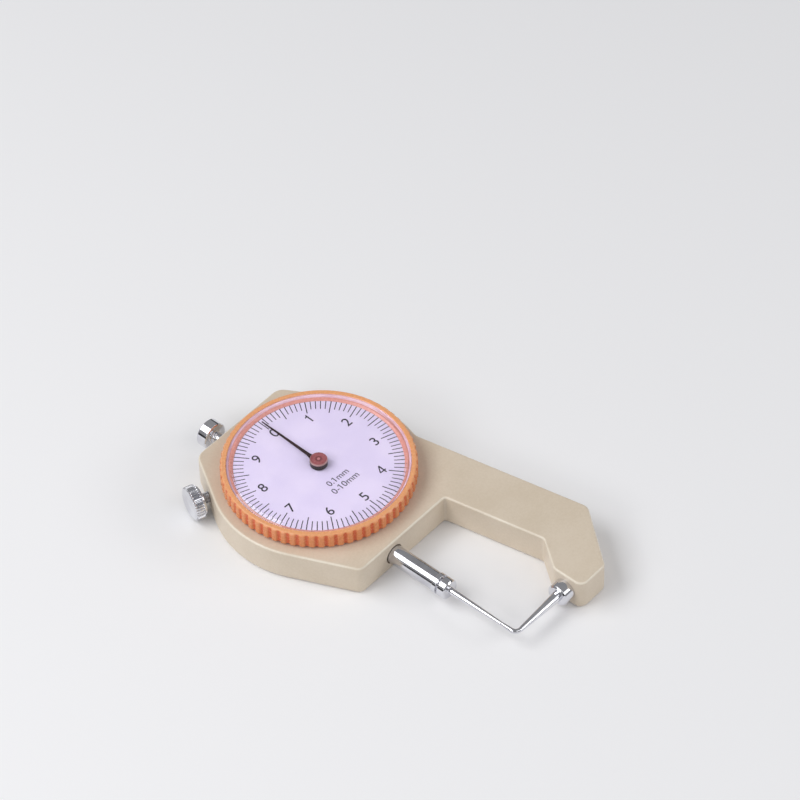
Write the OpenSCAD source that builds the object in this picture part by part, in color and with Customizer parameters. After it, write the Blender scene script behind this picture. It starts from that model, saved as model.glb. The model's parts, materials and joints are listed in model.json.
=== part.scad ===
// Pocket dial thickness gauge: a cast frame with an open throat, a sprung spindle with a rack,
// a pointer that makes one turn, a bezel that sets zero and a thumb screw that locks the spindle.
// Millimetres. The origin is on the dial axis in the plane of the back. +Z comes out of the dial,
// +Y runs along the spindle to the lift knob and +X points to the arm.

/* [Frame] */
// Thickness of the casting
body_t = 9; // [8.8:0.1:10]
// Radius of the housing round the dial
housing_r = 26.5; // [26:0.1:27.5]
// Dial axis to the face under the lift knob
knob_face_y = 27.1; // [26.8:0.1:30]
// Width of the face under the lift knob, between sharp corners
knob_face_w = 29.3; // [26:0.1:33]
// Dial axis to the throat face
throat_face_y = 28; // [27.5:0.1:31]
// Dial axis to the lower corner opposite the arm
front_corner_x = 16.3; // [14.5:0.1:18]
// Dial axis to the inner corner of the throat
throat_corner_x = 14; // [12:0.1:16]
// Lean of the arm away from the spindle, degrees
arm_splay = 11.2; // [9:0.1:13]
// Width of the arm
arm_w = 14.3; // [13:0.1:15.5]
// Dial axis to the jaw face that carries the anvil
jaw_face_x = 13.6; // [12:0.1:15]
// Jaw face above the anvil axis
jaw_above = 3.7; // [3.2:0.1:5]
// Jaw face below the anvil axis
jaw_below = 5; // [4:0.1:7]
// Bend of the arm to the start of the jaw face, along the spindle
jaw_neck_l = 7.8; // [6:0.1:11]
// Width of the jaw's end
jaw_end_w = 8.7; // [7:0.1:11]
// Lean of the jaw's outer side, degrees
jaw_slant = 38.3; // [32:0.1:44]
// Corner radius beside the lift knob
knob_corner_r = 3.5; // [2:0.1:5]
// Corner radius of the lower corner and of the jaw
jaw_corner_r = 2.2; // [1.5:0.1:3]
// Corner radius at the heel of the arm
heel_corner_r = 3; // [1.3:0.1:4]
// Radius of the inner corner of the throat
throat_corner_r = 0.8; // [0.4:0.1:3]
// Radius of the inner bend of the arm
bend_corner_r = 1.8; // [0.5:0.1:4]
// Radius where the arm's back runs into the housing
root_corner_r = 4; // [1:0.5:6]
// Rounding of the front edges
front_fillet = 0.6; // [0.3:0.05:0.9]
// Rounding of the back edges
back_fillet = 1.1; // [0.4:0.05:1.25]
// Thickness of the front deck over the movement
deck_t = 1.4; // [1.3:0.1:1.8]
// Radius of the chamber that holds the movement
chamber_r = 19; // [18.6:0.1:19.4]

/* [Back cover] */
// Radius of the cover
cover_r = 22.4; // [22.1:0.1:23.5]
// Thickness of the cover
cover_t = 1; // [0.8:0.1:1.1]
// Radius of the circle of cover screws
cover_screw_pcr = 20.7; // [20.5:0.1:20.9]
// Radius of a cover screw
cover_screw_r = 0.8; // [0.6:0.05:0.9]
// Radius of a cover screw's head
cover_head_r = 1.4; // [1.1:0.05:1.5]
// Length of a cover screw under the cover
cover_screw_l = 4; // [2:0.1:5]

/* [Spindle] */
// Spindle axis to the dial axis
spindle_x = 4.5; // [4.3:0.05:4.8]
// Spindle diameter
spindle_d = 4.8; // [4.4:0.05:5]
// Diameter of the spindle's tail
tail_d = 2.8; // [2.4:0.05:3]
// Measuring travel
travel = 10; // [8:0.5:10]
// Travel for one turn of the pointer
turn_travel = 10; // [9.6:0.1:10.4]
// Spindle outside the throat face at rest
stem_l = 13.7; // [12.5:0.1:18]
// Shoulder of the spindle above the dial axis at rest
shoulder_y = 1; // [0.9:0.05:1.1]
// Length of the needle's collar
collar_l = 3.95; // [2.6:0.05:4.5]
// Diameter of the needle's collar
collar_d = 5.3; // [5:0.1:5.8]
// Length of the needle beyond its collar
needle_l = 16.05; // [12:0.05:20]
// Needle diameter at the collar
needle_d = 1.7; // [1.2:0.05:2.4]
// Needle diameter at the tip
needle_tip_d = 0.95; // [0.5:0.05:1.2]
// Knob head to the face under it at rest
knob_gap = 3.6; // [2.5:0.1:8]
// Diameter of the lift knob's head
knob_d = 7.3; // [6:0.1:8.5]
// Thickness of the lift knob's head
knob_t = 3.1; // [2.2:0.1:4]
// Length of the collar under the lift knob's head
knob_collar_l = 0.9; // [0.6:0.1:2]

/* [Anvil] */
// Tips of the needles to the anvil axis
anvil_drop = 4.5; // [3.5:0.1:6]
// Diameter of the anvil's collar
anvil_collar_d = 5.8; // [4.6:0.1:6.2]
// Length of the anvil's collar outside the jaw
anvil_collar_l = 3.3; // [2:0.1:5]
// Depth of the anvil's shank in the jaw
anvil_shank_l = 6.4; // [4:0.1:8]
// Anvil needle diameter at the collar
anvil_root_d = 2.7; // [1.8:0.1:3.2]
// Anvil needle diameter at the bend
anvil_bend_d = 1.2; // [0.9:0.05:1.4]
// Radius of the anvil's bend, on the needle's axis
anvil_bend_r = 1.5; // [1.2:0.1:2.5]

/* [Dial and bezel] */
// Zero of the dial turned clockwise from the spindle, degrees
zero_turn = 2.3; // [0:0.1:20]
// Outer radius of the bezel over its flutes
bezel_r = 24; // [23.9:0.1:25]
// Height of the bezel
bezel_h = 4.55; // [4.4:0.05:5]
// Height of the bezel's smooth top ring
bezel_ring_h = 0.9; // [0.5:0.05:1.2]
// Number of flutes
flute_n = 64; // [40:1:80]
// Depth of a flute
flute_depth = 0.4; // [0.2:0.05:0.5]
// Width of the bezel outside the boss that it turns on
bezel_w = 3.7; // [3.6:0.05:4]
// Height of the boss
boss_h = 2.4; // [2.2:0.05:2.5]
// Wall of the boss
boss_wall = 1.8; // [1.4:0.1:2.4]
// Bezel's outer radius to the edge of the dial plate
dial_inset = 2.1; // [1.9:0.05:2.3]
// Thickness of the dial plate
dial_t = 0.5; // [0.3:0.05:0.6]
// Frame face to the top of the dial
dial_h = 3.2; // [3.1:0.05:3.4]
// Bezel's outer radius to the edge of the crystal
crystal_inset = 1.45; // [1.3:0.05:1.5]
// Width of the crystal's bevel
crystal_bevel = 1.3; // [1:0.05:1.6]
// Thickness of the crystal
crystal_t = 0.9; // [0.7:0.05:1]
// Frame face to the top of the crystal's dome
crystal_h = 7; // [6.9:0.05:8]
// Rise of the crystal's dome
dome_rise = 1.8; // [1.2:0.05:1.9]
// Wire radius of the snap ring
snap_wire_r = 0.4; // [0.3:0.05:0.45]

/* [Pointer] */
// Edge of the dial plate to the pointer's tip
pointer_inset = 2.7; // [2.3:0.1:6]
// Width of the pointer at the hub
pointer_w = 1.5; // [1:0.05:2]
// Width of the pointer at the tip
pointer_tip_w = 0.36; // [0.2:0.02:0.6]
// Dial face to the middle of the pointer
pointer_h = 1; // [0.9:0.05:1.05]
// Thickness of the pointer
pointer_t = 0.16; // [0.1:0.02:0.2]
// Radius of the pointer's hub
hub_r = 2.07; // [1.8:0.05:2.6]
// Height of the pointer's hub
hub_h = 1.55; // [1.4:0.05:1.8]
// Dial face to the top of the hub
hub_top = 2.1; // [2:0.05:2.2]

/* [Movement] */
// Radius of the arbor
arbor_r = 0.75; // [0.6:0.05:0.85]
// Radius of the arbor's lower pivot
pivot_r = 0.5; // [0.4:0.05:0.55]
// Teeth of the pinion
pinion_n = 16; // [14:1:20]
// Face width of rack and pinion
gear_w = 2.4; // [2:0.1:2.8]
// Play between the flanks of rack and pinion
backlash = 0.05; // [0.03:0.01:0.08]
// Thickness of the rack behind its teeth
rack_back = 0.75; // [0.6:0.05:0.9]
// Outer radius of the arbor's bush
arbor_bush_r = 2.2; // [1.8:0.05:2.6]
// Thickness of the lower bridge
bridge_t = 1; // [0.8:0.05:1.1]
// Dial axis to the bridge's screws, across the spindle
bridge_x = 8; // [7:0.1:10]
// Half the distance between the bridge's screws
bridge_y = 5; // [4.5:0.1:7]
// Radius of the bridge's pillars
pillar_r = 2.2; // [2:0.05:2.6]
// Radius of the small machine screws
screw_r = 0.7; // [0.5:0.05:0.8]
// Head radius of the small machine screws
screw_head_r = 1.3; // [1.1:0.05:1.5]
// Head thickness of the small machine screws
screw_head_t = 0.6; // [0.4:0.05:0.65]
// Turns of the hairspring
hair_turns = 5; // [3:1:6]
// Thickness of the hairspring's strip
hair_t = 0.16; // [0.1:0.02:0.2]
// Radius of the hairspring's outer end
hair_r = 8; // [6.5:0.1:10]
// Radius of the hairspring's collet
collet_r = 1.7; // [1.4:0.05:2]
// Radius of the hairspring's stud
stud_r = 0.6; // [0.5:0.05:0.8]
// Radius of the lower bush
lower_bush_r = 2.95; // [2.85:0.05:3.05]
// Radius of the upper bush
upper_bush_r = 2.3; // [2.1:0.05:2.5]
// Radius of the guide pin
guide_pin_r = 0.9; // [0.7:0.05:1]
// Guide pin below the dial axis at rest
guide_pin_y = 4; // [3.5:0.1:4.5]
// Chamber wall to the middle of the guide rail's web, square to the spindle
rail_inset = 4.2; // [4:0.1:4.5]
// Thickness of the guide rail's web
rail_t = 1; // [0.8:0.05:1.2]
// Return spring axis to the middle of its room, towards the spindle
spring_shift = 0.1; // [0:0.05:0.3]
// Chamber wall to the middle of the return spring's post
post_inset = 1.4; // [1.3:0.05:1.8]
// Mean radius of the return spring's coils
coil_r = 1.3; // [1.1:0.05:1.4]
// Wire radius of the return spring
spring_wire_r = 0.2; // [0.15:0.01:0.25]
// Coils of the return spring
coil_n = 10; // [8:1:12]
// Radius of the return spring's post
post_r = 0.7; // [0.6:0.05:0.8]

/* [Lock] */
// Corner beside the lift knob to the lock screw, along the slanted side
lock_along = 10; // [8:0.1:10.5]
// Lean of the lock screw, degrees
lock_lean = 20; // [18:0.5:24]
// Radius of the lock screw's thread
lock_thread_r = 1.4; // [1.3:0.05:1.5]
// Depth of the lock screw in the frame
lock_depth = 8; // [6:0.1:8.8]
// Radius of the lock pad
lock_pad_r = 1.2; // [1:0.05:1.3]
// Gap of the open lock between pad and spindle
lock_gap = 0.15; // [0.12:0.01:0.3]
// Frame to the lock screw's head
lock_head_gap = 2.3; // [1.3:0.1:4]
// Radius of the lock screw's head
lock_head_r = 4.4; // [3.5:0.1:4.5]
// Thickness of the lock screw's head
lock_head_t = 3; // [2:0.1:5]
// Thickness of the plain flange under the head
lock_flange_t = 0.6; // [0.3:0.05:1]
// Number of knurl ridges
knurl_n = 36; // [24:1:60]
// Depth of the knurl
knurl_depth = 0.35; // [0.2:0.05:0.5]

/* [Hidden] */
$fn = 64;

// Clearances and cutting allowances
run_gap = 0.04;      // radial clearance of what slides or turns
free_gap = 0.3;      // clearance of moving pieces that never touch
seat_gap = 0.05;     // clearance of what is dropped into a seat
cut = 1;             // overshoot of cutting tools
step_a = 6;          // degrees for each segment of a rounded corner
fillet_steps = 4;    // segments of a rounded edge
edge_out = 0.3;      // overshoot of an edge's cutter beyond the outline
bezel_gap = 0.15;    // frame to the turning bezel
side_play = 0.1;     // what a seated piece stands past its neighbour

// Heights
axis_z = body_t / 2;
deck_z = body_t - deck_t;
dial_z = body_t + dial_h;
pointer_z = dial_z + pointer_h;
bezel_z = body_t + bezel_gap;
bezel_top = bezel_z + bezel_h;
crystal_top = body_t + crystal_h;

// Spindle, along Y
spindle_r = spindle_d / 2;
tail_r = tail_d / 2;
stem_end_y = -throat_face_y - stem_l;
collar_end_y = stem_end_y - collar_l;
contact_y = collar_end_y - needle_l;
anvil_y = contact_y - anvil_drop;
anvil_shank_r = anvil_collar_d / 3;
knob_y = knob_face_y + knob_gap;
boss_y = shoulder_y + travel + free_gap;
lip_t = 1.5;
lip_gap = 0.25;
chamber_y = sqrt(chamber_r * chamber_r - spindle_x * spindle_x);
guide_a = atan2(chamber_y, -spindle_x);
lower_bush_top = -chamber_y + 1;
thread_r = 1;
point_thread_l = 3.5;
knob_thread_l = 1.6;
neck_cut = 0.45;
neck_r = spindle_r - neck_cut;
neck_l = 0.4;

// Outline of the casting, counter-clockwise, each corner with its radius
jaw_top_y = anvil_y + jaw_above;
jaw_end_y = anvil_y - jaw_below;
bend_y = jaw_top_y + jaw_neck_l;
bend_x = throat_corner_x + (-throat_face_y - bend_y) * tan(arm_splay);
arm_dir = 90 + arm_splay;
arm_reach = throat_corner_x * cos(arm_splay) - throat_face_y * sin(arm_splay) + arm_w;
root_lead = 2.92;    // degrees from where the arm's back would meet the housing to the start of its tangent
arm_root_angle = arm_splay - acos(arm_reach / housing_r) + root_lead;
knob_corner = [knob_face_w / 2, knob_face_y];
front_corner = [-front_corner_x, -throat_face_y];
upper_tangent = tangent_angle(knob_corner, housing_r);
lower_tangent = tangent_angle([front_corner_x, throat_face_y], housing_r);
left_apex = apex(180 - upper_tangent, 180 + lower_tangent, housing_r);
right_apex = apex(arm_root_angle, upper_tangent, housing_r);
arm_back = [throat_corner_x, -throat_face_y] + arm_w * [cos(arm_splay), sin(arm_splay)];
jaw_end = [jaw_face_x + jaw_end_w, jaw_end_y];
heel = meet(arm_back, arm_dir, jaw_end, 90 - jaw_slant);
arm_root = meet(arm_back, arm_dir, polar(housing_r, arm_root_angle), arm_root_angle + 90);
outline = [
    corner(knob_corner, knob_corner_r),
    corner([-knob_corner.x, knob_corner.y], knob_corner_r),
    corner(left_apex, housing_r),
    corner(front_corner, jaw_corner_r),
    corner([throat_corner_x, -throat_face_y], throat_corner_r),
    corner([bend_x, bend_y], bend_corner_r),
    corner([jaw_face_x, jaw_top_y], heel_corner_r),
    corner([jaw_face_x, jaw_end_y], jaw_corner_r),
    corner(jaw_end, jaw_corner_r),
    corner(heel, heel_corner_r),
    corner(arm_root, root_corner_r),
    corner(right_apex, housing_r)
];

// Gearing
pinion_r = turn_travel / (2 * PI);
tooth_pitch = turn_travel / pinion_n;
module_size = tooth_pitch / PI;
pressure_a = 20;
addendum = 0.85 * module_size;
dedendum = 1.2 * module_size;
base_r = pinion_r * cos(pressure_a);
tip_r = pinion_r + addendum;
root_r = pinion_r - dedendum;
flank_steps = 4;
rack_seat_x = -(pinion_r + dedendum + rack_back);
rack_teeth_up = floor((shoulder_y - tooth_pitch / 2) / tooth_pitch);
rack_teeth_down = ceil((travel + tip_r / 2) / tooth_pitch);
rack_bottom_y = -(rack_teeth_down + 0.5) * tooth_pitch;

// Lock screw
slant_dir = 180 - upper_tangent + 90;
lock_foot = [-knob_corner.x, knob_corner.y] + lock_along * [cos(slant_dir), sin(slant_dir)];
lock_reach = (-spindle_x - lock_foot.x) / cos(lock_lean);
lock_rib_r = lock_pad_r + 0.7;
knurl_t = lock_head_t - lock_flange_t;

// Bezel
boss_r = bezel_r - bezel_w;
dial_r = bezel_r - dial_inset;
crystal_r = bezel_r - crystal_inset;
pointer_l = dial_r - pointer_inset;
bezel_bore_r = boss_r + run_gap;
flute_r = PI * bezel_r / flute_n / 2;
snap_z = body_t + boss_h / 2;
snap_r = boss_r - 0.1;
snap_room = 0.08;
dome_r = crystal_r - crystal_bevel;
dome_sphere_r = (dome_r * dome_r + dome_rise * dome_rise) / (2 * dome_rise);
dome_steps = 12;

// Movement
bridge_z = axis_z - gear_w / 2 - 2 * side_play - bridge_t;
cover_screw_a = [45, 165, 285];
stud_h = 1.6;
stud_x = hair_r + hair_t / 2 + stud_r + seat_gap;
hair_z = body_t + 0.7;
hair_h = 0.6;
rail_x = chamber_r - spindle_x - rail_inset;
rail_mid_x = -spindle_x - rail_x;
rail_margin = 2.4;
rail_low = -guide_pin_y - guide_pin_r - free_gap;
rail_high = -guide_pin_y + travel + guide_pin_r + free_gap;
rail_foot_w = 3.4;
rail_foot_t = 0.8;
rail_z = axis_z - 2.2;
rail_screw_x = rail_mid_x + rail_t / 2 + rail_foot_w / 2;
rail_screw_ys = [rail_low - rail_margin / 2, rail_high + rail_margin / 2];
screw_depth = 1;
spring_x = (spindle_r + rail_x - rail_t / 2) / 2 - spring_shift;
spring_mid_x = -spindle_x - spring_x;
spring_post_y = sqrt(pow(chamber_r - post_inset, 2) - spring_mid_x * spring_mid_x);
post_head_r = post_r + 0.4;
post_head_t = 0.5;
post_z = axis_z - 1.4;

function polar(r, a) = r * [cos(a), sin(a)];
function corner(p, r) = [p.x, p.y, r];
function unit(v) = v / norm(v);
function left_of(v) = [-v.y, v.x];
function cross2(u, v) = u.x * v.y - u.y * v.x;

// Angle of the point where a line from p touches the circle of radius r, on the outer side
function tangent_angle(p, r) = atan2(p.y, p.x) - acos(r / norm(p));

// Point where the tangents at the angles a and b of a circle meet
function apex(a, b, r) = polar(r / cos((b - a) / 2), (a + b) / 2);

// Point where the line through p in direction a meets the line through q in direction b
function meet(p, a, q, b) =
    let (u = polar(1, a), v = polar(1, b))
    p + u * cross2(q - p, v) / cross2(u, v);

// Arc that rounds the corner c between its neighbours, for the outline moved inwards by inset
function corner_arc(before, c, after, inset) =
    let (
        here = [c.x, c.y],
        u = unit(here - [before.x, before.y]),
        v = unit([after.x, after.y] - here),
        turn = atan2(cross2(u, v), u * v),
        side = sign(turn),
        centre = here + side * c.z * (left_of(u) + left_of(v)) / (1 + left_of(u) * left_of(v)),
        first = -side * left_of(u),
        start = atan2(first.y, first.x),
        n = max(2, ceil(abs(turn) / step_a))
    )
    [for (k = [0:n]) centre + polar(c.z - side * inset, start + turn * k / n)];

function ring(corners, inset) =
    let (n = len(corners))
    [for (i = [0:n - 1])
        each corner_arc(corners[(i + n - 1) % n], corners[i], corners[(i + 1) % n], inset)];

// Insets and heights round the section of what is cut away to round an edge of radius f
function edge_section(f) = concat(
    [for (k = [0:fillet_steps]) let (a = 90 * k / fillet_steps) [f * (1 - sin(a)), f * (cos(a) - 1)]],
    [[-edge_out, -f], [-edge_out, cut], [f, cut]]
);

// Point of an involute, r from the axis, turned so that it crosses the pitch circle at angle 0
function involute_a(r) = r <= base_r ? 0 : sqrt(pow(r / base_r, 2) - 1) * 180 / PI - acos(base_r / r);
function flank_a(r) = involute_a(r) - involute_a(pinion_r);

// Half of a tooth's angle at radius r
function half_tooth(r) = 90 / pinion_n - backlash / 4 / pinion_r * 180 / PI - flank_a(r);

// Points and outward directions along the wire of the return spring
function spring_path() =
    let (
        loop_a = post_r + spring_wire_r + seat_gap,
        loop_b = guide_pin_r + spring_wire_r + seat_gap,
        low = -spring_post_y + loop_a + 2 * spring_wire_r,
        high = -guide_pin_y - loop_b - 2 * spring_wire_r,
        turns = coil_n + 0.25,
        steps = 12
    )
    concat(
        [for (a = [-240:24:0])
            let (out = [cos(a), sin(a), 0])
            [[spring_mid_x, -spring_post_y, axis_z] + loop_a * out, out]],
        [for (k = [0:turns * steps])
            let (a = 360 * k / steps, out = [cos(a), 0, sin(a)])
            [[spring_mid_x, low + (high - low) * k / (turns * steps), axis_z] + coil_r * out, out]],
        [for (a = [90:-24:-150])
            let (out = [0, cos(a), sin(a)])
            [[spring_mid_x, -guide_pin_y, axis_z] + loop_b * out, out]]
    );

// What is cut away along the top edge of an outline to round it
module edge_cutter(corners, f) {
    section = edge_section(f);
    rings = [for (s = section) ring(corners, s[0])];
    n = len(rings[0]);
    m = len(section);
    polyhedron(
        points = [for (k = [0:m - 1]) for (p = rings[k]) [p.x, p.y, section[k][1]]],
        faces = [for (k = [0:m - 1]) let (next = (k + 1) % m) for (i = [0:n - 1])
            [k * n + i, next * n + i, next * n + (i + 1) % n, k * n + (i + 1) % n]]
    );
}

// Slab over an outline of rounded corners, its front and back edges rounded
module filleted_slab(corners, t, low, high) {
    difference() {
        linear_extrude(t) polygon(ring(corners, 0));
        translate([0, 0, t]) edge_cutter(corners, high);
        mirror([0, 0, 1]) edge_cutter(corners, low);
    }
}

// Round wire along a path of points and outward directions
module wire(path, r, sides = 6) {
    n = len(path);
    function tangent(i) = unit(path[min(i + 1, n - 1)][0] - path[max(i - 1, 0)][0]);
    function at(i, k) = i * sides + k % sides;
    polyhedron(
        points = [for (i = [0:n - 1]) let (b = cross(tangent(i), path[i][1])) for (k = [0:sides - 1])
            path[i][0] + r * (cos(360 * k / sides) * path[i][1] + sin(360 * k / sides) * b)],
        faces = concat(
            [[for (k = [0:sides - 1]) k]],
            [for (i = [0:n - 2]) for (k = [0:sides - 1])
                [at(i, k), at(i + 1, k), at(i + 1, k + 1), at(i, k + 1)]],
            [[for (k = [sides - 1:-1:0]) at(n - 1, k)]]
        )
    );
}

// Rod along +Y at the spindle's axis, from y0 to y1
module along_spindle(y0, y1, r, r_end = undef) {
    translate([-spindle_x, y0, axis_z]) rotate([-90, 0, 0])
        cylinder(h = y1 - y0, r1 = r, r2 = is_undef(r_end) ? r : r_end);
}

// Rod along +X at the anvil's axis, from x0 to x1
module along_anvil(x0, x1, r, r_end = undef) {
    translate([x0, anvil_y, axis_z]) rotate([0, 90, 0])
        cylinder(h = x1 - x0, r1 = r, r2 = is_undef(r_end) ? r : r_end);
}

// Places children on the lock screw's axis, their +Z pointing into the frame
module on_lock_axis() {
    translate([lock_foot.x, lock_foot.y, axis_z]) rotate([0, 90, -lock_lean]) children();
}

module rod(z0, z1, r) {
    translate([0, 0, z0]) cylinder(h = z1 - z0, r = r);
}

module tube(z0, z1, r, bore) {
    difference() {
        rod(z0, z1, r);
        rod(z0 - cut, z1 + cut, bore);
    }
}

// Slotted machine screw with its head below the plane z and its shank above it
module machine_screw(z, shank_l) {
    slot_w = screw_head_r / 3;
    difference() {
        union() {
            rod(z - screw_head_t, z, screw_head_r);
            rod(z, z + shank_l, screw_r);
        }
        translate([-screw_head_r - cut, -slot_w / 2, z - screw_head_t - cut])
            cube([2 * (screw_head_r + cut), slot_w, cut + screw_head_t / 2]);
    }
}

module at_cover_screws() {
    for (a = cover_screw_a) rotate(a) translate([cover_screw_pcr, 0]) children();
}

module at_bridge_screws() {
    for (y = [-bridge_y, bridge_y]) translate([bridge_x, y]) children();
}

module at_rail_screws() {
    for (y = rail_screw_ys) translate([rail_screw_x, y]) children();
}

module cover_screw_shape() {
    rod(cover_t, cover_t + cover_screw_l, cover_screw_r);
    cylinder(h = cover_t, r1 = cover_head_r, r2 = cover_screw_r);
}

// Room for the movement, less the guide of the tail and the rib of the lock. Its wall is turned so
// that the seam of the cylinder falls inside the guide.
module chamber() {
    difference() {
        rotate(guide_a) rod(cover_t, deck_z, chamber_r);
        translate([-spindle_x - upper_bush_r - 1, boss_y, 0])
            cube([2 * (upper_bush_r + 1), chamber_r, body_t]);
        intersection() {
            on_lock_axis() translate([-axis_z, -lock_rib_r, 0]) cube([body_t, 2 * lock_rib_r, lock_reach]);
            translate([-chamber_r, boss_y, 0]) cube([chamber_r, chamber_r, body_t]);
        }
        at_bridge_screws() rod(bridge_z + bridge_t, body_t, pillar_r);
    }
}

module frame() {
    color([0.80, 0.74, 0.64]) difference() {
        union() {
            filleted_slab(outline, body_t, back_fillet, front_fillet);
            rod(axis_z, body_t + boss_h, boss_r);
        }
        chamber();
        rod(-cut, cover_t, cover_r + seat_gap);
        rod(body_t, body_t + boss_h + cut, boss_r - boss_wall);
        rod(axis_z, body_t + cut, arbor_bush_r);
        rotate_extrude() translate([snap_r, snap_z]) circle(r = snap_wire_r + snap_room);
        along_spindle(-throat_face_y - cut, -throat_face_y + lip_t + cut, spindle_r + lip_gap);
        along_spindle(-throat_face_y + lip_t, -chamber_y + 3, lower_bush_r);
        along_spindle(boss_y - cut, knob_face_y + cut, upper_bush_r);
        on_lock_axis() rod(-cut * 3, lock_depth + cut, lock_thread_r + run_gap);
        on_lock_axis() rod(lock_depth, lock_reach, lock_pad_r + run_gap);
        at_cover_screws() rod(cover_t / 2, cover_t + cover_screw_l, cover_screw_r);
        at_bridge_screws() rod(bridge_z, bridge_z + bridge_t + 3 * screw_depth, screw_r);
        at_rail_screws() rod(deck_z - cut, deck_z + screw_depth, screw_r);
        translate([spring_mid_x, -spring_post_y]) rod(deck_z - cut, deck_z + screw_depth, post_r);
        translate([stud_x, 0]) rod(body_t - screw_depth, body_t + cut, stud_r);
        along_anvil(jaw_face_x - cut, jaw_face_x + anvil_shank_l, anvil_shank_r);
    }
}

module back_cover() {
    color([0.78, 0.78, 0.80]) difference() {
        rod(0, cover_t, cover_r);
        at_cover_screws() cover_screw_shape();
    }
}

module cover_screws() {
    slot_w = cover_head_r / 3;
    slot_t = cover_t / 3;
    color([0.70, 0.70, 0.72]) difference() {
        at_cover_screws() cover_screw_shape();
        at_cover_screws() translate([-cover_head_r - cut, -slot_w / 2, -cut])
            cube([2 * (cover_head_r + cut), slot_w, cut + slot_t]);
    }
}

module upper_bush() {
    color([0.80, 0.66, 0.36]) difference() {
        along_spindle(boss_y, knob_face_y, upper_bush_r);
        along_spindle(boss_y - cut, knob_face_y + cut, tail_r + run_gap);
        on_lock_axis() rod(lock_depth, lock_reach, lock_pad_r + run_gap);
    }
}

module lower_bush() {
    color([0.80, 0.66, 0.36]) difference() {
        along_spindle(-throat_face_y + lip_t, lower_bush_top, lower_bush_r);
        along_spindle(-throat_face_y, lower_bush_top + cut, spindle_r + run_gap);
    }
}

module arbor_bush() {
    color([0.80, 0.66, 0.36])
        tube(deck_z - 2 * side_play, body_t + 3 * side_play, arbor_bush_r, arbor_r + run_gap);
}

module lower_bridge() {
    bar_r = arbor_r + 1.2;
    color([0.82, 0.70, 0.42]) translate([0, 0, bridge_z]) difference() {
        linear_extrude(bridge_t) {
            circle(r = bar_r);
            translate([0, -bar_r]) square([bridge_x, 2 * bar_r]);
            translate([bridge_x - pillar_r, -bridge_y]) square([2 * pillar_r, 2 * bridge_y]);
            at_bridge_screws() circle(r = pillar_r);
        }
        rod(-cut, bridge_t + cut, pivot_r + run_gap);
        at_bridge_screws() rod(-cut, bridge_t + cut, screw_r);
    }
}

module bridge_screws() {
    color([0.70, 0.70, 0.72]) at_bridge_screws() machine_screw(bridge_z, bridge_t + 3 * screw_depth);
}

module hairspring() {
    inner = collet_r + hair_t / 2 + seat_gap;
    steps = 20 * hair_turns;
    function strip(k, side) =
        polar(inner + (hair_r - inner) * k / steps + side * hair_t / 2, 360 * hair_turns * k / steps);
    color([0.35, 0.42, 0.60]) translate([0, 0, hair_z]) linear_extrude(hair_h)
        polygon(concat([for (k = [0:steps]) strip(k, 1)], [for (k = [steps:-1:0]) strip(k, -1)]));
}

module hairspring_stud() {
    color([0.80, 0.66, 0.36]) translate([stud_x, 0])
        rod(body_t - screw_depth, body_t + stud_h, stud_r);
}

module spring_post() {
    color([0.70, 0.70, 0.72]) translate([spring_mid_x, -spring_post_y]) {
        rod(post_z, deck_z + screw_depth, post_r);
        rod(post_z, post_z + post_head_t, post_head_r);
    }
}

module return_spring() {
    color([0.62, 0.64, 0.68]) wire(spring_path(), spring_wire_r);
}

module guide_rail() {
    low = rail_low - rail_margin;
    high = rail_high + rail_margin;
    slot_r = guide_pin_r + run_gap;
    foot_x = rail_mid_x + rail_t / 2;
    color([0.72, 0.73, 0.76]) difference() {
        union() {
            translate([rail_mid_x - rail_t / 2, low, rail_z]) cube([rail_t, high - low, deck_z - rail_z]);
            for (y = rail_screw_ys) translate([foot_x, y - rail_margin / 2, deck_z - rail_foot_t])
                cube([rail_foot_w, rail_margin, rail_foot_t]);
        }
        translate([rail_mid_x - rail_t, rail_low, axis_z - slot_r])
            cube([2 * rail_t, rail_high - rail_low, 2 * slot_r]);
        at_rail_screws() rod(rail_z, body_t, screw_r);
    }
}

module rail_screws() {
    color([0.70, 0.70, 0.72]) at_rail_screws()
        machine_screw(deck_z - rail_foot_t, rail_foot_t + screw_depth);
}

module anvil_post() {
    rim = 0.4;
    face_x = jaw_face_x - anvil_collar_l;
    collar_r = anvil_collar_d / 2;
    color([0.82, 0.83, 0.85]) difference() {
        union() {
            along_anvil(jaw_face_x, jaw_face_x + anvil_shank_l, anvil_shank_r);
            along_anvil(face_x + rim, jaw_face_x, collar_r);
            along_anvil(face_x, face_x + rim, collar_r - rim, collar_r);
        }
        along_anvil(face_x - cut, face_x + point_thread_l, thread_r);
    }
}

module anvil_point() {
    start_x = jaw_face_x - anvil_collar_l;
    bend_end_x = -spindle_x + anvil_bend_r;
    tip_r = needle_tip_d / 2;
    color([0.82, 0.83, 0.85]) {
        along_anvil(start_x, start_x + point_thread_l, thread_r);
        along_anvil(bend_end_x, start_x, anvil_bend_d / 2, anvil_root_d / 2);
        translate([bend_end_x, anvil_y + anvil_bend_r, axis_z]) rotate(180)
            rotate_extrude(angle = 90) translate([anvil_bend_r, 0]) circle(r = anvil_bend_d / 2);
        along_spindle(anvil_y + anvil_bend_r, contact_y, anvil_bend_d / 2, tip_r);
    }
}

module bezel_snap_ring() {
    gap_w = 4;
    color([0.62, 0.64, 0.68]) difference() {
        rotate_extrude() translate([snap_r, snap_z]) circle(r = snap_wire_r);
        translate([0, -gap_w / 2, body_t]) cube([bezel_r, gap_w, boss_h]);
    }
}

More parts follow.
